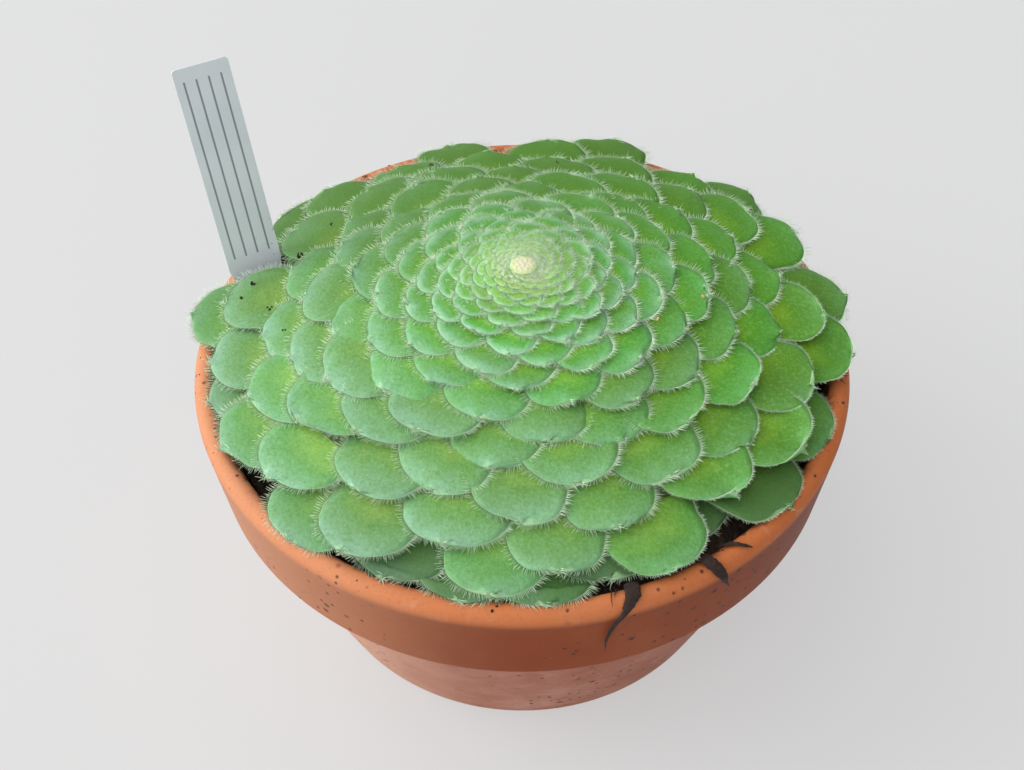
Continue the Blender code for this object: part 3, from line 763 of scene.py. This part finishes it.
def add_band(form, places, samples, sides, ragged):
    """A flat strip with rounded section that lies over the lip through its places."""
    centres = []
    sizes = []
    for sample in range(samples + 1):
        way = sample / samples * (len(places) - 1)
        low = min(int(way), len(places) - 2)
        part = way - low
        row = [a + (b - a) * part for a, b in zip(places[low], places[low + 1])]
        centres.append(over_lip(row[0], row[1], row[3] + LIP_CLEARANCE))
        sizes.append((row[2], row[3]))
    for _ in range(3):
        middle = [(a + b * 2 + c) / 4 for a, b, c in zip(centres, centres[1:], centres[2:])]
        centres = [centres[0]] + middle + [centres[-1]]
    rings = []
    for sample, (centre, (half, thick)) in enumerate(zip(centres, sizes)):
        tangent = (centres[min(sample + 1, samples)] - centres[max(sample - 1, 0)]).normalized()
        core = Vector((centre.x, centre.y, 0.0)).normalized() * (RIM_RADIUS - LIP_OUTER_ROUND)
        core.z = min(centre.z, POT_HEIGHT - LIP_OUTER_ROUND)
        normal = (centre - core).normalized()
        sideways = tangent.cross(normal).normalized()
        normal = sideways.cross(tangent)
        taper = math.sqrt(min(1.0, 4.0 * min(sample, samples - sample) / samples + 0.02))
        ring = []
        for corner in range(sides):
            angle = 2 * math.pi * corner / sides
            place = centre + sideways * (half * math.cos(angle))
            rough = 1.0 + ragged * snoise.noise(place * 900.0) * abs(math.cos(angle))
            crease = max(0.0, snoise.noise(place * 500.0)) * thick * ragged * 2.0
            place = centre + sideways * (half * taper * rough * math.cos(angle))
            ring.append(form.verts.new(place + normal * (thick * taper * math.sin(angle) + crease)))
        rings.append(ring)
    for low, high in zip(rings, rings[1:]):
        for i in range(sides):
            form.faces.new((low[i], low[(i + 1) % sides], high[(i + 1) % sides], high[i]))
    form.faces.new(reversed(rings[0]))
    form.faces.new(rings[-1])


def make_bands(name, strips, samples, sides, ragged, material):
    """Strips over the lip as one piece."""
    mesh = bpy.data.meshes.new(name)
    form = bmesh.new()
    for places in strips:
        add_band(form, places, samples, sides, ragged)
    bmesh.ops.recalc_face_normals(form, faces=form.faces[:])
    form.to_mesh(mesh)
    form.free()
    mesh.materials.append(material)
    mesh.shade_smooth()
    return new_object(name, mesh)


def fine_root(start, way, end, last, draw):
    """Places of one thin root from inside the lip to its end."""
    places = []
    for step in range(7):
        share = step / 6
        bow = math.sin(math.pi * share) * draw.uniform(-0.8, 0.8)
        places.append((start + (end - start) * share + bow, way + (last - way) * share,
                       0.00022 - 0.00012 * share, 0.00020 - 0.00010 * share))
    return places


def crumb_tree():
    """Tree that puts a rough crumb on every carrier vertex."""
    tree, entry = new_tree("Crumbs", {"Roughness": 0.55, "Seed": 8})
    ball = add_node(tree, "GeometryNodeMeshIcoSphere", Radius=1.0, Subdivisions=2)
    spin = add_node(tree, "FunctionNodeRandomValue", {"data_type": "FLOAT_VECTOR"})
    spin.inputs[1].default_value = (6.28, 6.28, 6.28)
    plug(tree, spin.inputs["Seed"], entry.outputs["Seed"])
    size = stored(tree, "size")
    shape = combine(tree, size, size * 0.8, size * stored(tree, "flat"))
    spread = add_node(tree, "GeometryNodeInstanceOnPoints", Points=entry.outputs["Geometry"],
                      Instance=ball.outputs["Mesh"], Rotation=spin.outputs[0], Scale=shape)
    real = add_node(tree, "GeometryNodeRealizeInstances", Geometry=spread.outputs[0])
    place = tree.nodes.new("GeometryNodeInputPosition").outputs[0]
    normal = tree.nodes.new("GeometryNodeInputNormal").outputs[0]
    rough = (noise(tree, place, 900.0, 2.0) - 0.5) * stored(tree, "size") * entry.outputs["Roughness"] * 3.0
    offset = vector_math(tree, "SCALE", normal, scale=rough).outputs[0]
    moved = add_node(tree, "GeometryNodeSetPosition", Geometry=real.outputs[0], Offset=offset)
    close_tree(tree, entry, moved.outputs[0])
    return tree


def crumb_carrier(name, places):
    """Vertices for crumbs, each x, y, z, size and flatness."""
    mesh = bpy.data.meshes.new(name)
    mesh.from_pydata([place[:3] for place in places], [], [])
    for label, column in (("size", 3), ("flat", 4)):
        values = [place[column] for place in places]
        mesh.attributes.new(label, "FLOAT", "POINT").data.foreach_set("value", values)
    return mesh


def make_debris(earth, wilted):
    """Crumbs on the soil and the lip, brown bits and tan flecks on the leaves, fine roots over the lip."""
    draw = random.Random(41)
    crumbs = []
    for _ in range(SOIL_CRUMBS):
        radius = 0.0912 - 0.030 * draw.random() ** 1.6
        angle = draw.uniform(0, 2 * math.pi)
        size = 0.0004 + 0.0012 * draw.random() ** 2
        height = SOIL_LEVEL + size * 0.6 + 0.0003
        crumbs.append((radius * math.cos(angle), radius * math.sin(angle), height, size, 0.8))
    for _ in range(LIP_CRUMBS):
        size = 0.00012 + 0.00045 * draw.random() ** 2
        place = over_lip(draw.uniform(0, 360), -0.0078 + 0.0105 * draw.random() ** 1.7, 0.0)
        crumbs.append((*place, size, 0.8))
    tree = crumb_tree()
    attach(grow("soil_crumbs", tree, crumb_carrier("crumbs", crumbs), {}, earth), "soil")
    bits = []
    for x, y, size in LEAF_BITS:
        height = leaf_height(x, y) + 0.0002
        for _ in range(3):
            beside = x + draw.uniform(-size, size)
            behind = y + draw.uniform(-size, size)
            bits.append((beside, behind, height, size * 0.6, 0.4))
    attach(grow("leaf_bits", tree, crumb_carrier("bits", bits), {}, wilted), "wilted")
    flecks = [(x, y, leaf_height(x, y), size, 0.5) for x, y, size in TAN_FLECKS]
    fleck_skin, _, shader = new_material("tan_fleck", 0.7)
    shader.inputs["Base Color"].default_value = (0.62, 0.42, 0.20, 1.0)
    fleck_carrier = crumb_carrier("flecks", flecks)
    attach(grow("tan_flecks", tree, fleck_carrier, {"Roughness": 0.2}, fleck_skin), "wilted")
    roots = [fine_root(*values, draw) for values in FINE_ROOTS]
    attach(make_bands("fine_roots", roots, 18, 6, 0.0, wilted), "wilted")


def label_axes():
    """Directions of the label: along its width, up its length and out of its face."""
    up = Vector((math.sin(LABEL_LEAN) * math.cos(LABEL_LEAN_TOWARDS),
                 math.sin(LABEL_LEAN) * math.sin(LABEL_LEAN_TOWARDS), math.cos(LABEL_LEAN)))
    along = Vector((math.cos(LABEL_TURN), math.sin(LABEL_TURN), 0.0))
    along = (along - up * along.dot(up)).normalized()
    return along, up, along.cross(up)


def label_half_width(height):
    """Half the label's width at a height over the soil."""
    half = LABEL_WIDTH / 2
    if height >= LABEL_SHOULDER:
        corner = max(0.0, height - (LABEL_ABOVE - LABEL_CORNER))
        return half - (LABEL_CORNER - math.sqrt(max(0.0, LABEL_CORNER ** 2 - corner ** 2)))
    if height >= 0:
        return LABEL_SOIL_HALF_WIDTH + (half - LABEL_SOIL_HALF_WIDTH) * height / LABEL_SHOULDER
    share = -height / LABEL_BELOW
    return LABEL_SOIL_HALF_WIDTH + (LABEL_POINT_HALF_WIDTH - LABEL_SOIL_HALF_WIDTH) * share


def make_label(material):
    """The thin plastic strip, with a UV map that runs across it and up it."""
    heights = [-LABEL_BELOW + LABEL_BELOW * i / 4 for i in range(4)]
    heights += [LABEL_SHOULDER * i / 4 for i in range(4)]
    straight_top = LABEL_ABOVE - LABEL_CORNER
    heights += [LABEL_SHOULDER + (straight_top - LABEL_SHOULDER) * i / 20 for i in range(20)]
    heights += [straight_top + LABEL_CORNER * math.sin(math.pi / 2 * i / 5) for i in range(6)]
    columns = 6
    along, up, across = label_axes()
    form = bmesh.new()
    uv = form.loops.layers.uv.new("UVMap")
    rows = []
    for height in heights:
        half = label_half_width(height)
        rows.append([form.verts.new(LABEL_FOOT + up * height + along * (half * (2 * i / columns - 1)))
                     for i in range(columns + 1)])
    for low, high, floor, ceiling in zip(rows, rows[1:], heights, heights[1:]):
        for i in range(columns):
            face = form.faces.new((low[i], low[i + 1], high[i + 1], high[i]))
            for loop, height in zip(face.loops, (floor, floor, ceiling, ceiling)):
                offset = loop.vert.co - LABEL_FOOT
                loop[uv].uv = (offset.dot(along) / LABEL_WIDTH + 0.5, offset.dot(up) / LABEL_ABOVE)
    mesh = bpy.data.meshes.new("bare_label")
    form.to_mesh(mesh)
    form.free()
    label = new_object("bare_label", mesh)
    solid = label.modifiers.new("Thickness", "SOLIDIFY")
    solid.thickness = LABEL_THICKNESS
    solid.offset = 0.0
    label = plain_copy(label, "bare_label")
    label.data.materials.append(material)
    label.data.shade_smooth()
    label.data.set_sharp_from_angle(angle=math.radians(40))
    return label


def new_material(name, roughness, **constants):
    """A material with its Principled BSDF's constants set on the shader's own sockets."""
    mat = bpy.data.materials.new(name)
    mat.use_nodes = True
    shader = mat.node_tree.nodes["Principled BSDF"]
    shader.inputs["Roughness"].default_value = roughness
    for label, value in constants.items():
        shader.inputs[label.replace("_", " ")].default_value = value
    return mat, mat.node_tree, shader


def ramp(tree, factor, stops):
    """A colour ramp through (place, colour) stops."""
    node = tree.nodes.new("ShaderNodeValToRGB")
    plug(tree, node.inputs["Fac"], factor)
    band = node.color_ramp
    while len(band.elements) < len(stops):
        band.elements.new(1.0)
    for element, (place, color) in zip(band.elements, stops):
        element.position = place
        element.color = (*color, 1.0)
    return node.outputs["Color"]


def mix(tree, factor, first, second):
    """Mix two colours."""
    node = tree.nodes.new("ShaderNodeMix")
    node.data_type = "RGBA"
    plug(tree, node.inputs[0], factor)
    for socket, value in ((node.inputs[6], first), (node.inputs[7], second)):
        plug(tree, socket, (*value, 1.0) if isinstance(value, tuple) else value)
    return node.outputs[2]


def shader_attribute(tree, label):
    """A float attribute of the mesh as a field."""
    node = tree.nodes.new("ShaderNodeAttribute")
    node.attribute_name = label
    return Field(tree, node.outputs["Fac"])


def object_place(tree):
    """Object coordinates."""
    return tree.nodes.new("ShaderNodeTexCoord").outputs["Object"]


def bump(tree, shader, height, distance, strength=1.0):
    """Feed a height to the shader's normal."""
    node = add_node(tree, "ShaderNodeBump", Height=height, Distance=distance, Strength=strength)
    tree.links.new(node.outputs[0], shader.inputs["Normal"])


def leaf_material():
    """Velvety leaf: blue-green tip, yellow-green base, pale heart, dull old leaves, pale margin, painted
    light on the left side and painted shade at the back.
    """
    mat, tree, shader = new_material("leaf_skin", 0.60, Sheen_Weight=0.14, Sheen_Roughness=0.35,
                                     Specular_IOR_Level=0.20)
    shader.inputs["Sheen Tint"].default_value = (0.70, 1.0, 0.80, 1.0)
    from_tip = shader_attribute(tree, "from_tip")
    tone = shader_attribute(tree, "tone")
    edge = shader_attribute(tree, "edge")
    half = shader_attribute(tree, "half")
    age = shader_attribute(tree, "age")
    tip = shader_attribute(tree, "tip")
    place = object_place(tree)
    x, y, _ = separate(tree, place)
    # painted light: leaves on the left and front of the rosette get paler, bluer colours and the others
    # darker ones, standing in for the light from the left
    painted_light_side = (x * -0.85 + y * -0.45).smooth(-0.070, 0.085)
    mottle = noise(tree, place, 190.0, 4.0, 0.65)
    patch = noise(tree, place, 55.0, 2.0, 0.5)
    inset = (edge / (half * 0.8)).low(1.0)
    along = from_tip * 0.62 + inset * 0.30 + (mottle - 0.5) * 0.42 + (patch - 0.5) * 0.40
    along = along + (tone - 0.5) * 0.12
    # lit and shaded copies of the leaf colour; their darker middles and lighter tips are partly the leaves'
    # own colour and partly painted shading of the convex blades
    painted_shade_ramp = ramp(tree, along, ((0.0, (0.150, 0.410, 0.105)), (0.14, (0.120, 0.360, 0.050)),
                                (0.40, (0.105, 0.310, 0.018)), (0.72, (0.210, 0.420, 0.010))))
    painted_light_ramp = ramp(tree, along, ((0.0, (0.300, 0.555, 0.360)), (0.14, (0.235, 0.485, 0.235)),
                                (0.40, (0.175, 0.400, 0.110)), (0.72, (0.285, 0.495, 0.100))))
    adult = mix(tree, painted_light_side, painted_shade_ramp, painted_light_ramp)
    inner = ramp(tree, along, ((0.0, (0.260, 0.560, 0.300)), (0.16, (0.155, 0.440, 0.130)),
                               (0.42, (0.135, 0.405, 0.045)), (0.70, (0.290, 0.560, 0.035))))
    color = mix(tree, 1.0 - tip.smooth(0.030, 0.062), adult, inner)
    heart = ramp(tree, tip / 0.026 + (mottle - 0.5) * 0.10, (
        (0.13, (0.84, 0.80, 0.56)), (0.23, (0.78, 0.84, 0.48)), (0.34, (0.52, 0.74, 0.19)),
        (0.50, (0.30, 0.58, 0.10)), (1.0, (0.20, 0.50, 0.12))))
    color = mix(tree, 1.0 - tip.smooth(0.012, 0.030), color, heart)
    frost = tip.smooth(0.004, 0.012) * (1.0 - tip.smooth(0.020, 0.052)) * (1.0 - inset.smooth(0.0, 0.45))
    color = mix(tree, frost * 0.55, color, (0.52, 0.86, 0.60))
    shade = add_node(tree, "ShaderNodeHueSaturation", Color=color, Hue=(tone - 0.5) * 0.020 + 0.5,
                     Value=tone * 0.20 + 0.88)
    grain = noise(tree, place, 1000.0, 3.0, 0.8)
    color = mix(tree, grain.smooth(0.50, 0.68) * 0.22, shade.outputs[0], (0.42, 0.68, 0.36))
    color = mix(tree, (1.0 - grain.smooth(0.32, 0.50)) * 0.32, color, (0.050, 0.190, 0.035))
    color = mix(tree, age * 0.72, color, (0.060, 0.125, 0.034))
    # painted shade: leaves towards the back are darkened, standing in for their slopes facing away from the
    # light
    painted_rear_shade = (y + x * -0.20).smooth(-0.005, 0.080)
    color = mix(tree, painted_rear_shade * 0.72, color, (0.085, 0.195, 0.022))
    margin = 1.0 - edge.smooth(0.00004, 0.00040)
    color = mix(tree, margin * 0.45, color, (0.50, 0.80, 0.42))
    tree.links.new(color, shader.inputs["Base Color"])
    bump(tree, shader, mottle * 0.6 + grain * 0.4, 0.0008, 0.8)
    return mat


def bud_material():
    """Cream flesh of the youngest leaves, greener round the rim."""
    mat, tree, shader = new_material("bud_flesh", 0.6, Sheen_Weight=0.2)
    place = object_place(tree)
    x, y, _ = separate(tree, place)
    away = ((x - CENTRE.x) * (x - CENTRE.x) + (y - CENTRE.y) * (y - CENTRE.y)).math("SQRT") / BUD_RADIUS
    flesh = ramp(tree, noise(tree, place, 1500.0, 3.0), ((0.35, (0.76, 0.70, 0.46)),
                                                         (0.65, (0.80, 0.80, 0.52))))
    color = mix(tree, away.smooth(0.35, 0.95) * 0.8, flesh, (0.62, 0.76, 0.34))
    tree.links.new(color, shader.inputs["Base Color"])
    return mat


def hair_material():
    """Pale green-white hair of the leaf margins."""
    mat, tree, shader = new_material("fringe_hair", 0.45, Specular_IOR_Level=0.3)
    shade = noise(tree, object_place(tree), 400.0)
    color = ramp(tree, shade, ((0.3, (0.60, 0.87, 0.52)), (0.7, (0.88, 1.00, 0.80))))
    tree.links.new(color, shader.inputs["Base Color"])
    return mat


def speckle_group():
    """Shader group: a mask of small round specks that gather in patches."""
    group = bpy.data.node_groups.new("Speckle", "ShaderNodeTree")
    group.interface.new_socket("Vector", in_out="INPUT", socket_type="NodeSocketVector")
    for label in ("Scale", "Size", "Patches"):
        group.interface.new_socket(label, in_out="INPUT", socket_type="NodeSocketFloat")
    group.interface.new_socket("Mask", in_out="OUTPUT", socket_type="NodeSocketFloat")
    entry = group.nodes.new("NodeGroupInput")
    cells = add_node(group, "ShaderNodeTexVoronoi", Vector=entry.outputs["Vector"],
                     Scale=entry.outputs["Scale"])
    size = Field(group, entry.outputs["Size"])
    speck = 1.0 - Field(group, cells.outputs["Distance"]).smooth(size * 0.4, size)
    chosen = separate(group, cells.outputs["Color"])[0].over(0.45)
    patch = noise(group, entry.outputs["Vector"], 26.0, 2.0)
    patch = patch.smooth(entry.outputs["Patches"], Field(group, entry.outputs["Patches"]) + 0.12)
    out = group.nodes.new("NodeGroupOutput")
    group.links.new((speck * chosen * patch).socket, out.inputs[0])
    return group


def specks(tree, group, place, scale, size, patches):
    """A speckle mask as a field."""
    node = tree.nodes.new("ShaderNodeGroup")
    node.node_tree = group
    for label, value in (("Vector", place), ("Scale", scale), ("Size", size), ("Patches", patches)):
        plug(tree, node.inputs[label], value)
    return Field(tree, node.outputs[0])


def terracotta_material(speckle):
    """Fired clay: satin orange-brown collar, darkened partly with painted shade, brighter lip with painted
    shade under it, painted light on the left side, dusty pink body, dirt, specks and smears.
    """
    mat, tree, shader = new_material("terracotta", 0.50, Specular_IOR_Level=0.08)
    place = object_place(tree)
    x, y, z = separate(tree, place)
    cloud = noise(tree, place, 14.0, 4.0, 0.6)
    fine = noise(tree, place, 700.0, 3.0, 0.6)
    # the clay is darkened partly as its own colour and partly as painted shade of the collar front, which
    # faces away from the light
    clay = ramp(tree, cloud, ((0.30, (0.205, 0.036, 0.007)), (0.55, (0.265, 0.054, 0.012)),
                              (0.80, (0.340, 0.088, 0.028))))
    radius = (x * x + y * y).math("SQRT")
    lip = z.smooth(POT_HEIGHT - 0.0065, POT_HEIGHT - 0.0020)
    lip_clay = ramp(tree, cloud, ((0.3, (0.58, 0.160, 0.048)), (0.7, (0.64, 0.215, 0.085))))
    color = mix(tree, lip, clay, lip_clay)
    # painted shade: a dark band just under the rounded lip, where the bead shades the collar
    step_top = z.smooth(POT_HEIGHT - 0.0062, POT_HEIGHT - 0.0048)
    step = z.smooth(POT_HEIGHT - 0.0085, POT_HEIGHT - 0.0070) * (1.0 - step_top)
    color = mix(tree, step * 0.45, color, (0.22, 0.062, 0.028))
    below = 1.0 - z.smooth(COLLAR_FOOT - 0.0030, COLLAR_FOOT - 0.0008)
    dusty = noise(tree, place, 45.0, 4.0, 0.65)
    dust = ramp(tree, dusty, ((0.30, (0.37, 0.145, 0.098)), (0.55, (0.46, 0.215, 0.158)),
                              (0.75, (0.56, 0.310, 0.240))))
    color = mix(tree, below * 0.92, color, dust)
    # painted light: the left side of the lip, collar and body is made paler and brighter, standing in for
    # the light from the left and its washed-out highlight
    painted_left_light = (x * -0.92 + y * -0.20).smooth(0.015, 0.095)
    color = mix(tree, painted_left_light * 0.60, color, (0.74, 0.36, 0.20))
    color = mix(tree, painted_left_light * below * 0.60, color, (0.86, 0.58, 0.47))
    rough = below * 0.38 + 0.40 + fine * 0.15
    stretched = combine(tree, x * 60.0, y * 60.0, z * 420.0)
    smear = noise(tree, stretched, 1.0, 3.0, 0.6).smooth(0.62, 0.74) * below
    color = mix(tree, smear * 0.55, color, (0.14, 0.055, 0.040))
    powder = noise(tree, place, 130.0, 4.0, 0.7).smooth(0.56, 0.78)
    color = mix(tree, powder * (below * 0.28 + lip * 0.22 + 0.03), color, (0.72, 0.46, 0.33))
    small = specks(tree, speckle, place, 330.0, 0.26, 0.44)
    large = specks(tree, speckle, place, 170.0, 0.24, 0.50)
    color = mix(tree, small.high(large) * 0.85, color, (0.045, 0.026, 0.020))
    outside = radius.smooth(INNER_RIM_RADIUS - 0.0005, INNER_RIM_RADIUS + 0.0035)
    inside = (1.0 - outside) * z.over(COLLAR_FOOT)
    earth = noise(tree, place, 240.0, 3.0, 0.6).smooth(0.42, 0.60) * inside
    color = mix(tree, earth * 0.85, color, (0.070, 0.040, 0.028))
    color = mix(tree, (fine - 0.5).absolute() * 0.8, color, (0.26, 0.080, 0.040))
    tree.links.new(color, shader.inputs["Base Color"])
    tree.links.new(rough.socket, shader.inputs["Roughness"])
    bump(tree, shader, fine * 0.4 + cloud + small, 0.0003, 0.4)
    return mat


def soil_material():
    """Dark damp soil."""
    mat, tree, shader = new_material("soil_crumb", 0.95, Specular_IOR_Level=0.2)
    place = object_place(tree)
    color = ramp(tree, noise(tree, place, 500.0, 4.0, 0.7), ((0.35, (0.040, 0.027, 0.019)),
                 (0.6, (0.120, 0.080, 0.055)), (0.8, (0.26, 0.185, 0.13))))
    tree.links.new(color, shader.inputs["Base Color"])
    bump(tree, shader, noise(tree, place, 900.0, 4.0, 0.7), 0.001, 0.8)
    return mat


def label_material(speckle):
    """Pale blue-grey plastic with plain ruled lines for writing on, scuffed near its foot."""
    mat, tree, shader = new_material("label_plastic", 0.36, Specular_IOR_Level=0.45)
    coordinates = tree.nodes.new("ShaderNodeUVMap")
    coordinates.uv_map = "UVMap"
    across, up, _ = separate(tree, coordinates.outputs[0])
    place = object_place(tree)
    cloud = noise(tree, place, 60.0, 3.0)
    color = ramp(tree, cloud, ((0.3, (0.72, 0.76, 0.81)), (0.7, (0.79, 0.83, 0.87))))
    written = up.over(0.24) * (1.0 - up.over(0.95))
    for line in (0.82, 0.60, 0.38, 0.16):
        stroke = 1.0 - ((across - line).absolute() / 0.022).smooth(0.55, 1.0)
        color = mix(tree, stroke * written * 0.75, color, (0.10, 0.12, 0.16))
    scuff = specks(tree, speckle, place, 420.0, 0.26, 0.40) * (1.0 - up.smooth(0.18, 0.42))
    color = mix(tree, scuff * 0.8, color, (0.10, 0.075, 0.055))
    mud = noise(tree, place, 380.0, 3.0, 0.6).smooth(0.50, 0.66) * (1.0 - up.smooth(0.06, 0.20))
    color = mix(tree, mud * 0.6, color, (0.13, 0.10, 0.075))
    tree.links.new(color, shader.inputs["Base Color"])
    return mat


def crown_material():
    """Green-brown flesh of the crown."""
    mat, tree, shader = new_material("crown_flesh", 0.8)
    color = ramp(tree, noise(tree, object_place(tree), 300.0, 3.0), ((0.3, (0.06, 0.09, 0.03)),
                 (0.7, (0.14, 0.18, 0.07))))
    tree.links.new(color, shader.inputs["Base Color"])
    return mat


def bark_material():
    """Brown bark."""
    mat, tree, shader = new_material("stem_bark", 0.9)
    place = object_place(tree)
    grain = noise(tree, place, 500.0, 4.0)
    color = ramp(tree, grain, ((0.3, (0.09, 0.055, 0.03)), (0.7, (0.26, 0.17, 0.10))))
    tree.links.new(color, shader.inputs["Base Color"])
    bump(tree, shader, grain, 0.0006)
    return mat


def wilted_material():
    """Dark dry leaf and root remnants."""
    mat, tree, shader = new_material("wilted", 0.85)
    place = object_place(tree)
    grain = noise(tree, place, 700.0, 4.0, 0.7)
    color = ramp(tree, grain, ((0.3, (0.012, 0.006, 0.004)), (0.6, (0.038, 0.017, 0.011)),
                               (0.8, (0.10, 0.052, 0.036))))
    tree.links.new(color, shader.inputs["Base Color"])
    bump(tree, shader, grain, 0.0006)
    return mat


def make_camera():
    """Camera at the photo's place: above the front, turned a little off the pot's middle."""
    target = Vector((0.0, 0.0, POT_HEIGHT))
    place = Vector((0.0, -math.cos(CAMERA_ELEVATION), math.sin(CAMERA_ELEVATION))) * CAMERA_DISTANCE
    forward = -place.normalized()
    right = forward.cross(Vector((0.0, 0.0, 1.0))).normalized()
    up = right.cross(forward)
    for axis, angle in ((up.copy(), CAMERA_PAN), (right.copy(), CAMERA_TILT)):
        turn = Matrix.Rotation(angle, 3, axis)
        forward, right, up = turn @ forward, turn @ right, turn @ up
    turn = Matrix.Rotation(CAMERA_ROLL, 3, forward)
    right, up = turn @ right, turn @ up
    data = bpy.data.cameras.new("camera")
    data.sensor_width = SENSOR_WIDTH
    data.lens = FOCAL_PIXELS * SENSOR_WIDTH / FRAME_WIDTH
    data.clip_start = 0.01
    camera = bpy.data.objects.new("camera", data)
    bpy.context.scene.collection.objects.link(camera)
    turned_axes = Matrix((right, up, -forward)).transposed().to_4x4()
    camera.matrix_world = Matrix.Translation(place + target) @ turned_axes
    bpy.context.scene.camera = camera


def make_light(name, place, size, power, color):
    """A soft round light that looks at the rosette."""
    data = bpy.data.lights.new(name, "AREA")
    data.shape = "DISK"
    data.size = size
    data.energy = power
    data.color = color
    light = bpy.data.objects.new(name, data)
    bpy.context.scene.collection.objects.link(light)
    light.location = place
    aim = Vector((0.0, 0.0, POT_HEIGHT)) - Vector(place)
    light.rotation_euler = aim.to_track_quat("-Z", "Y").to_euler()


def make_world():
    """Pale world that is brightest at the upper left and dimmest at the lower right."""
    world = bpy.data.worlds.new("studio")
    bpy.context.scene.world = world
    world.use_nodes = True
    tree = world.node_tree
    direction = tree.nodes.new("ShaderNodeTexCoord").outputs["Generated"]
    facing = vector_math(tree, "DOT_PRODUCT", direction, BRIGHT_SIDE).outputs["Value"]
    strength = Field(tree, facing).smooth(-0.10, 1.0) * WORLD_LOBE + WORLD_BASE
    background = tree.nodes["Background"]
    background.inputs["Color"].default_value = (0.97, 0.985, 1.0, 1.0)
    tree.links.new(strength.socket, background.inputs["Strength"])


def make_studio():
    """Pale floor, pale world and a weak key light from the upper left."""
    mesh = bpy.data.meshes.new("floor")
    form = bmesh.new()
    bmesh.ops.create_grid(form, x_segments=1, y_segments=1, size=3.0)
    form.to_mesh(mesh)
    form.free()
    floor = new_object("floor", mesh)
    mat, _, shader = new_material("floor", 0.9, Specular_IOR_Level=0.1)
    shader.inputs["Base Color"].default_value = (0.26, 0.26, 0.26, 1.0)
    shader.inputs["Emission Color"].default_value = (1.0, 1.0, 1.0, 1.0)
    shader.inputs["Emission Strength"].default_value = 0.46
    mesh.materials.append(mat)
    make_world()
    make_light("key", (-1.20, 0.10, 0.75), 0.9, 7.0, (1.0, 0.985, 0.96))
    bpy.context.scene.view_settings.view_transform = "Standard"


def attach(piece, slot, *nodes):
    """Fix a piece to the body and hide the solids that it stands for; the slot for its finish is not used.
    """
    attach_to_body(piece, "root")
    if nodes:
        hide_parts(*nodes)


def make_rosette():
    """Leaves of the disc and of the heart, their fringes and the crown."""
    skin = leaf_material()
    hair = hair_material()
    leaves = leaf_list()
    disc = [leaf for leaf in leaves if leaf[0] >= HEART_INDEX]
    heart = [leaf for leaf in leaves if leaf[0] < HEART_INDEX]
    for name, group, across, along, spacing in (("disc_leaves", disc, 13, 27, 0.00042),
                                                ("heart_leaves", heart, 9, 17, 0.00024)):
        piece = grow(name, leaf_tree(across, along), carrier_mesh(name, group), {}, skin)
        fringe = grow(name + "_fringe", fringe_tree(), piece.data.copy(), {"Spacing": spacing}, hair)
        attach(piece, "leaf", "rosette")
        attach(fringe, "leaf")
    attach(make_bud(bud_material()), "leaf")
    attach(make_crown(crown_material()), "leaf")


def main():
    make_camera()
    make_studio()
    speckle = speckle_group()
    attach(make_pot(terracotta_material(speckle)), "terracotta", "pot")
    earth = soil_material()
    attach(make_soil(earth), "soil", "soil")
    attach(make_label(label_material(speckle)), "label", "plant_label")
    make_rosette()
    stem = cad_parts["stem"]
    stem.data.materials.clear()
    stem.data.materials.append(bark_material())
    wilted = wilted_material()
    for name, node, places in (("wilted_leaf", "dried_leaf", WILTED_LEAF),
                               ("wilted_root", "dried_root", WILTED_ROOT),
                               ("wilted_twig", "twig", WILTED_TWIG)):
        attach(make_bands(name, [places], 60, 14, 0.22, wilted), "wilted", node)
    make_debris(earth, wilted)


main()
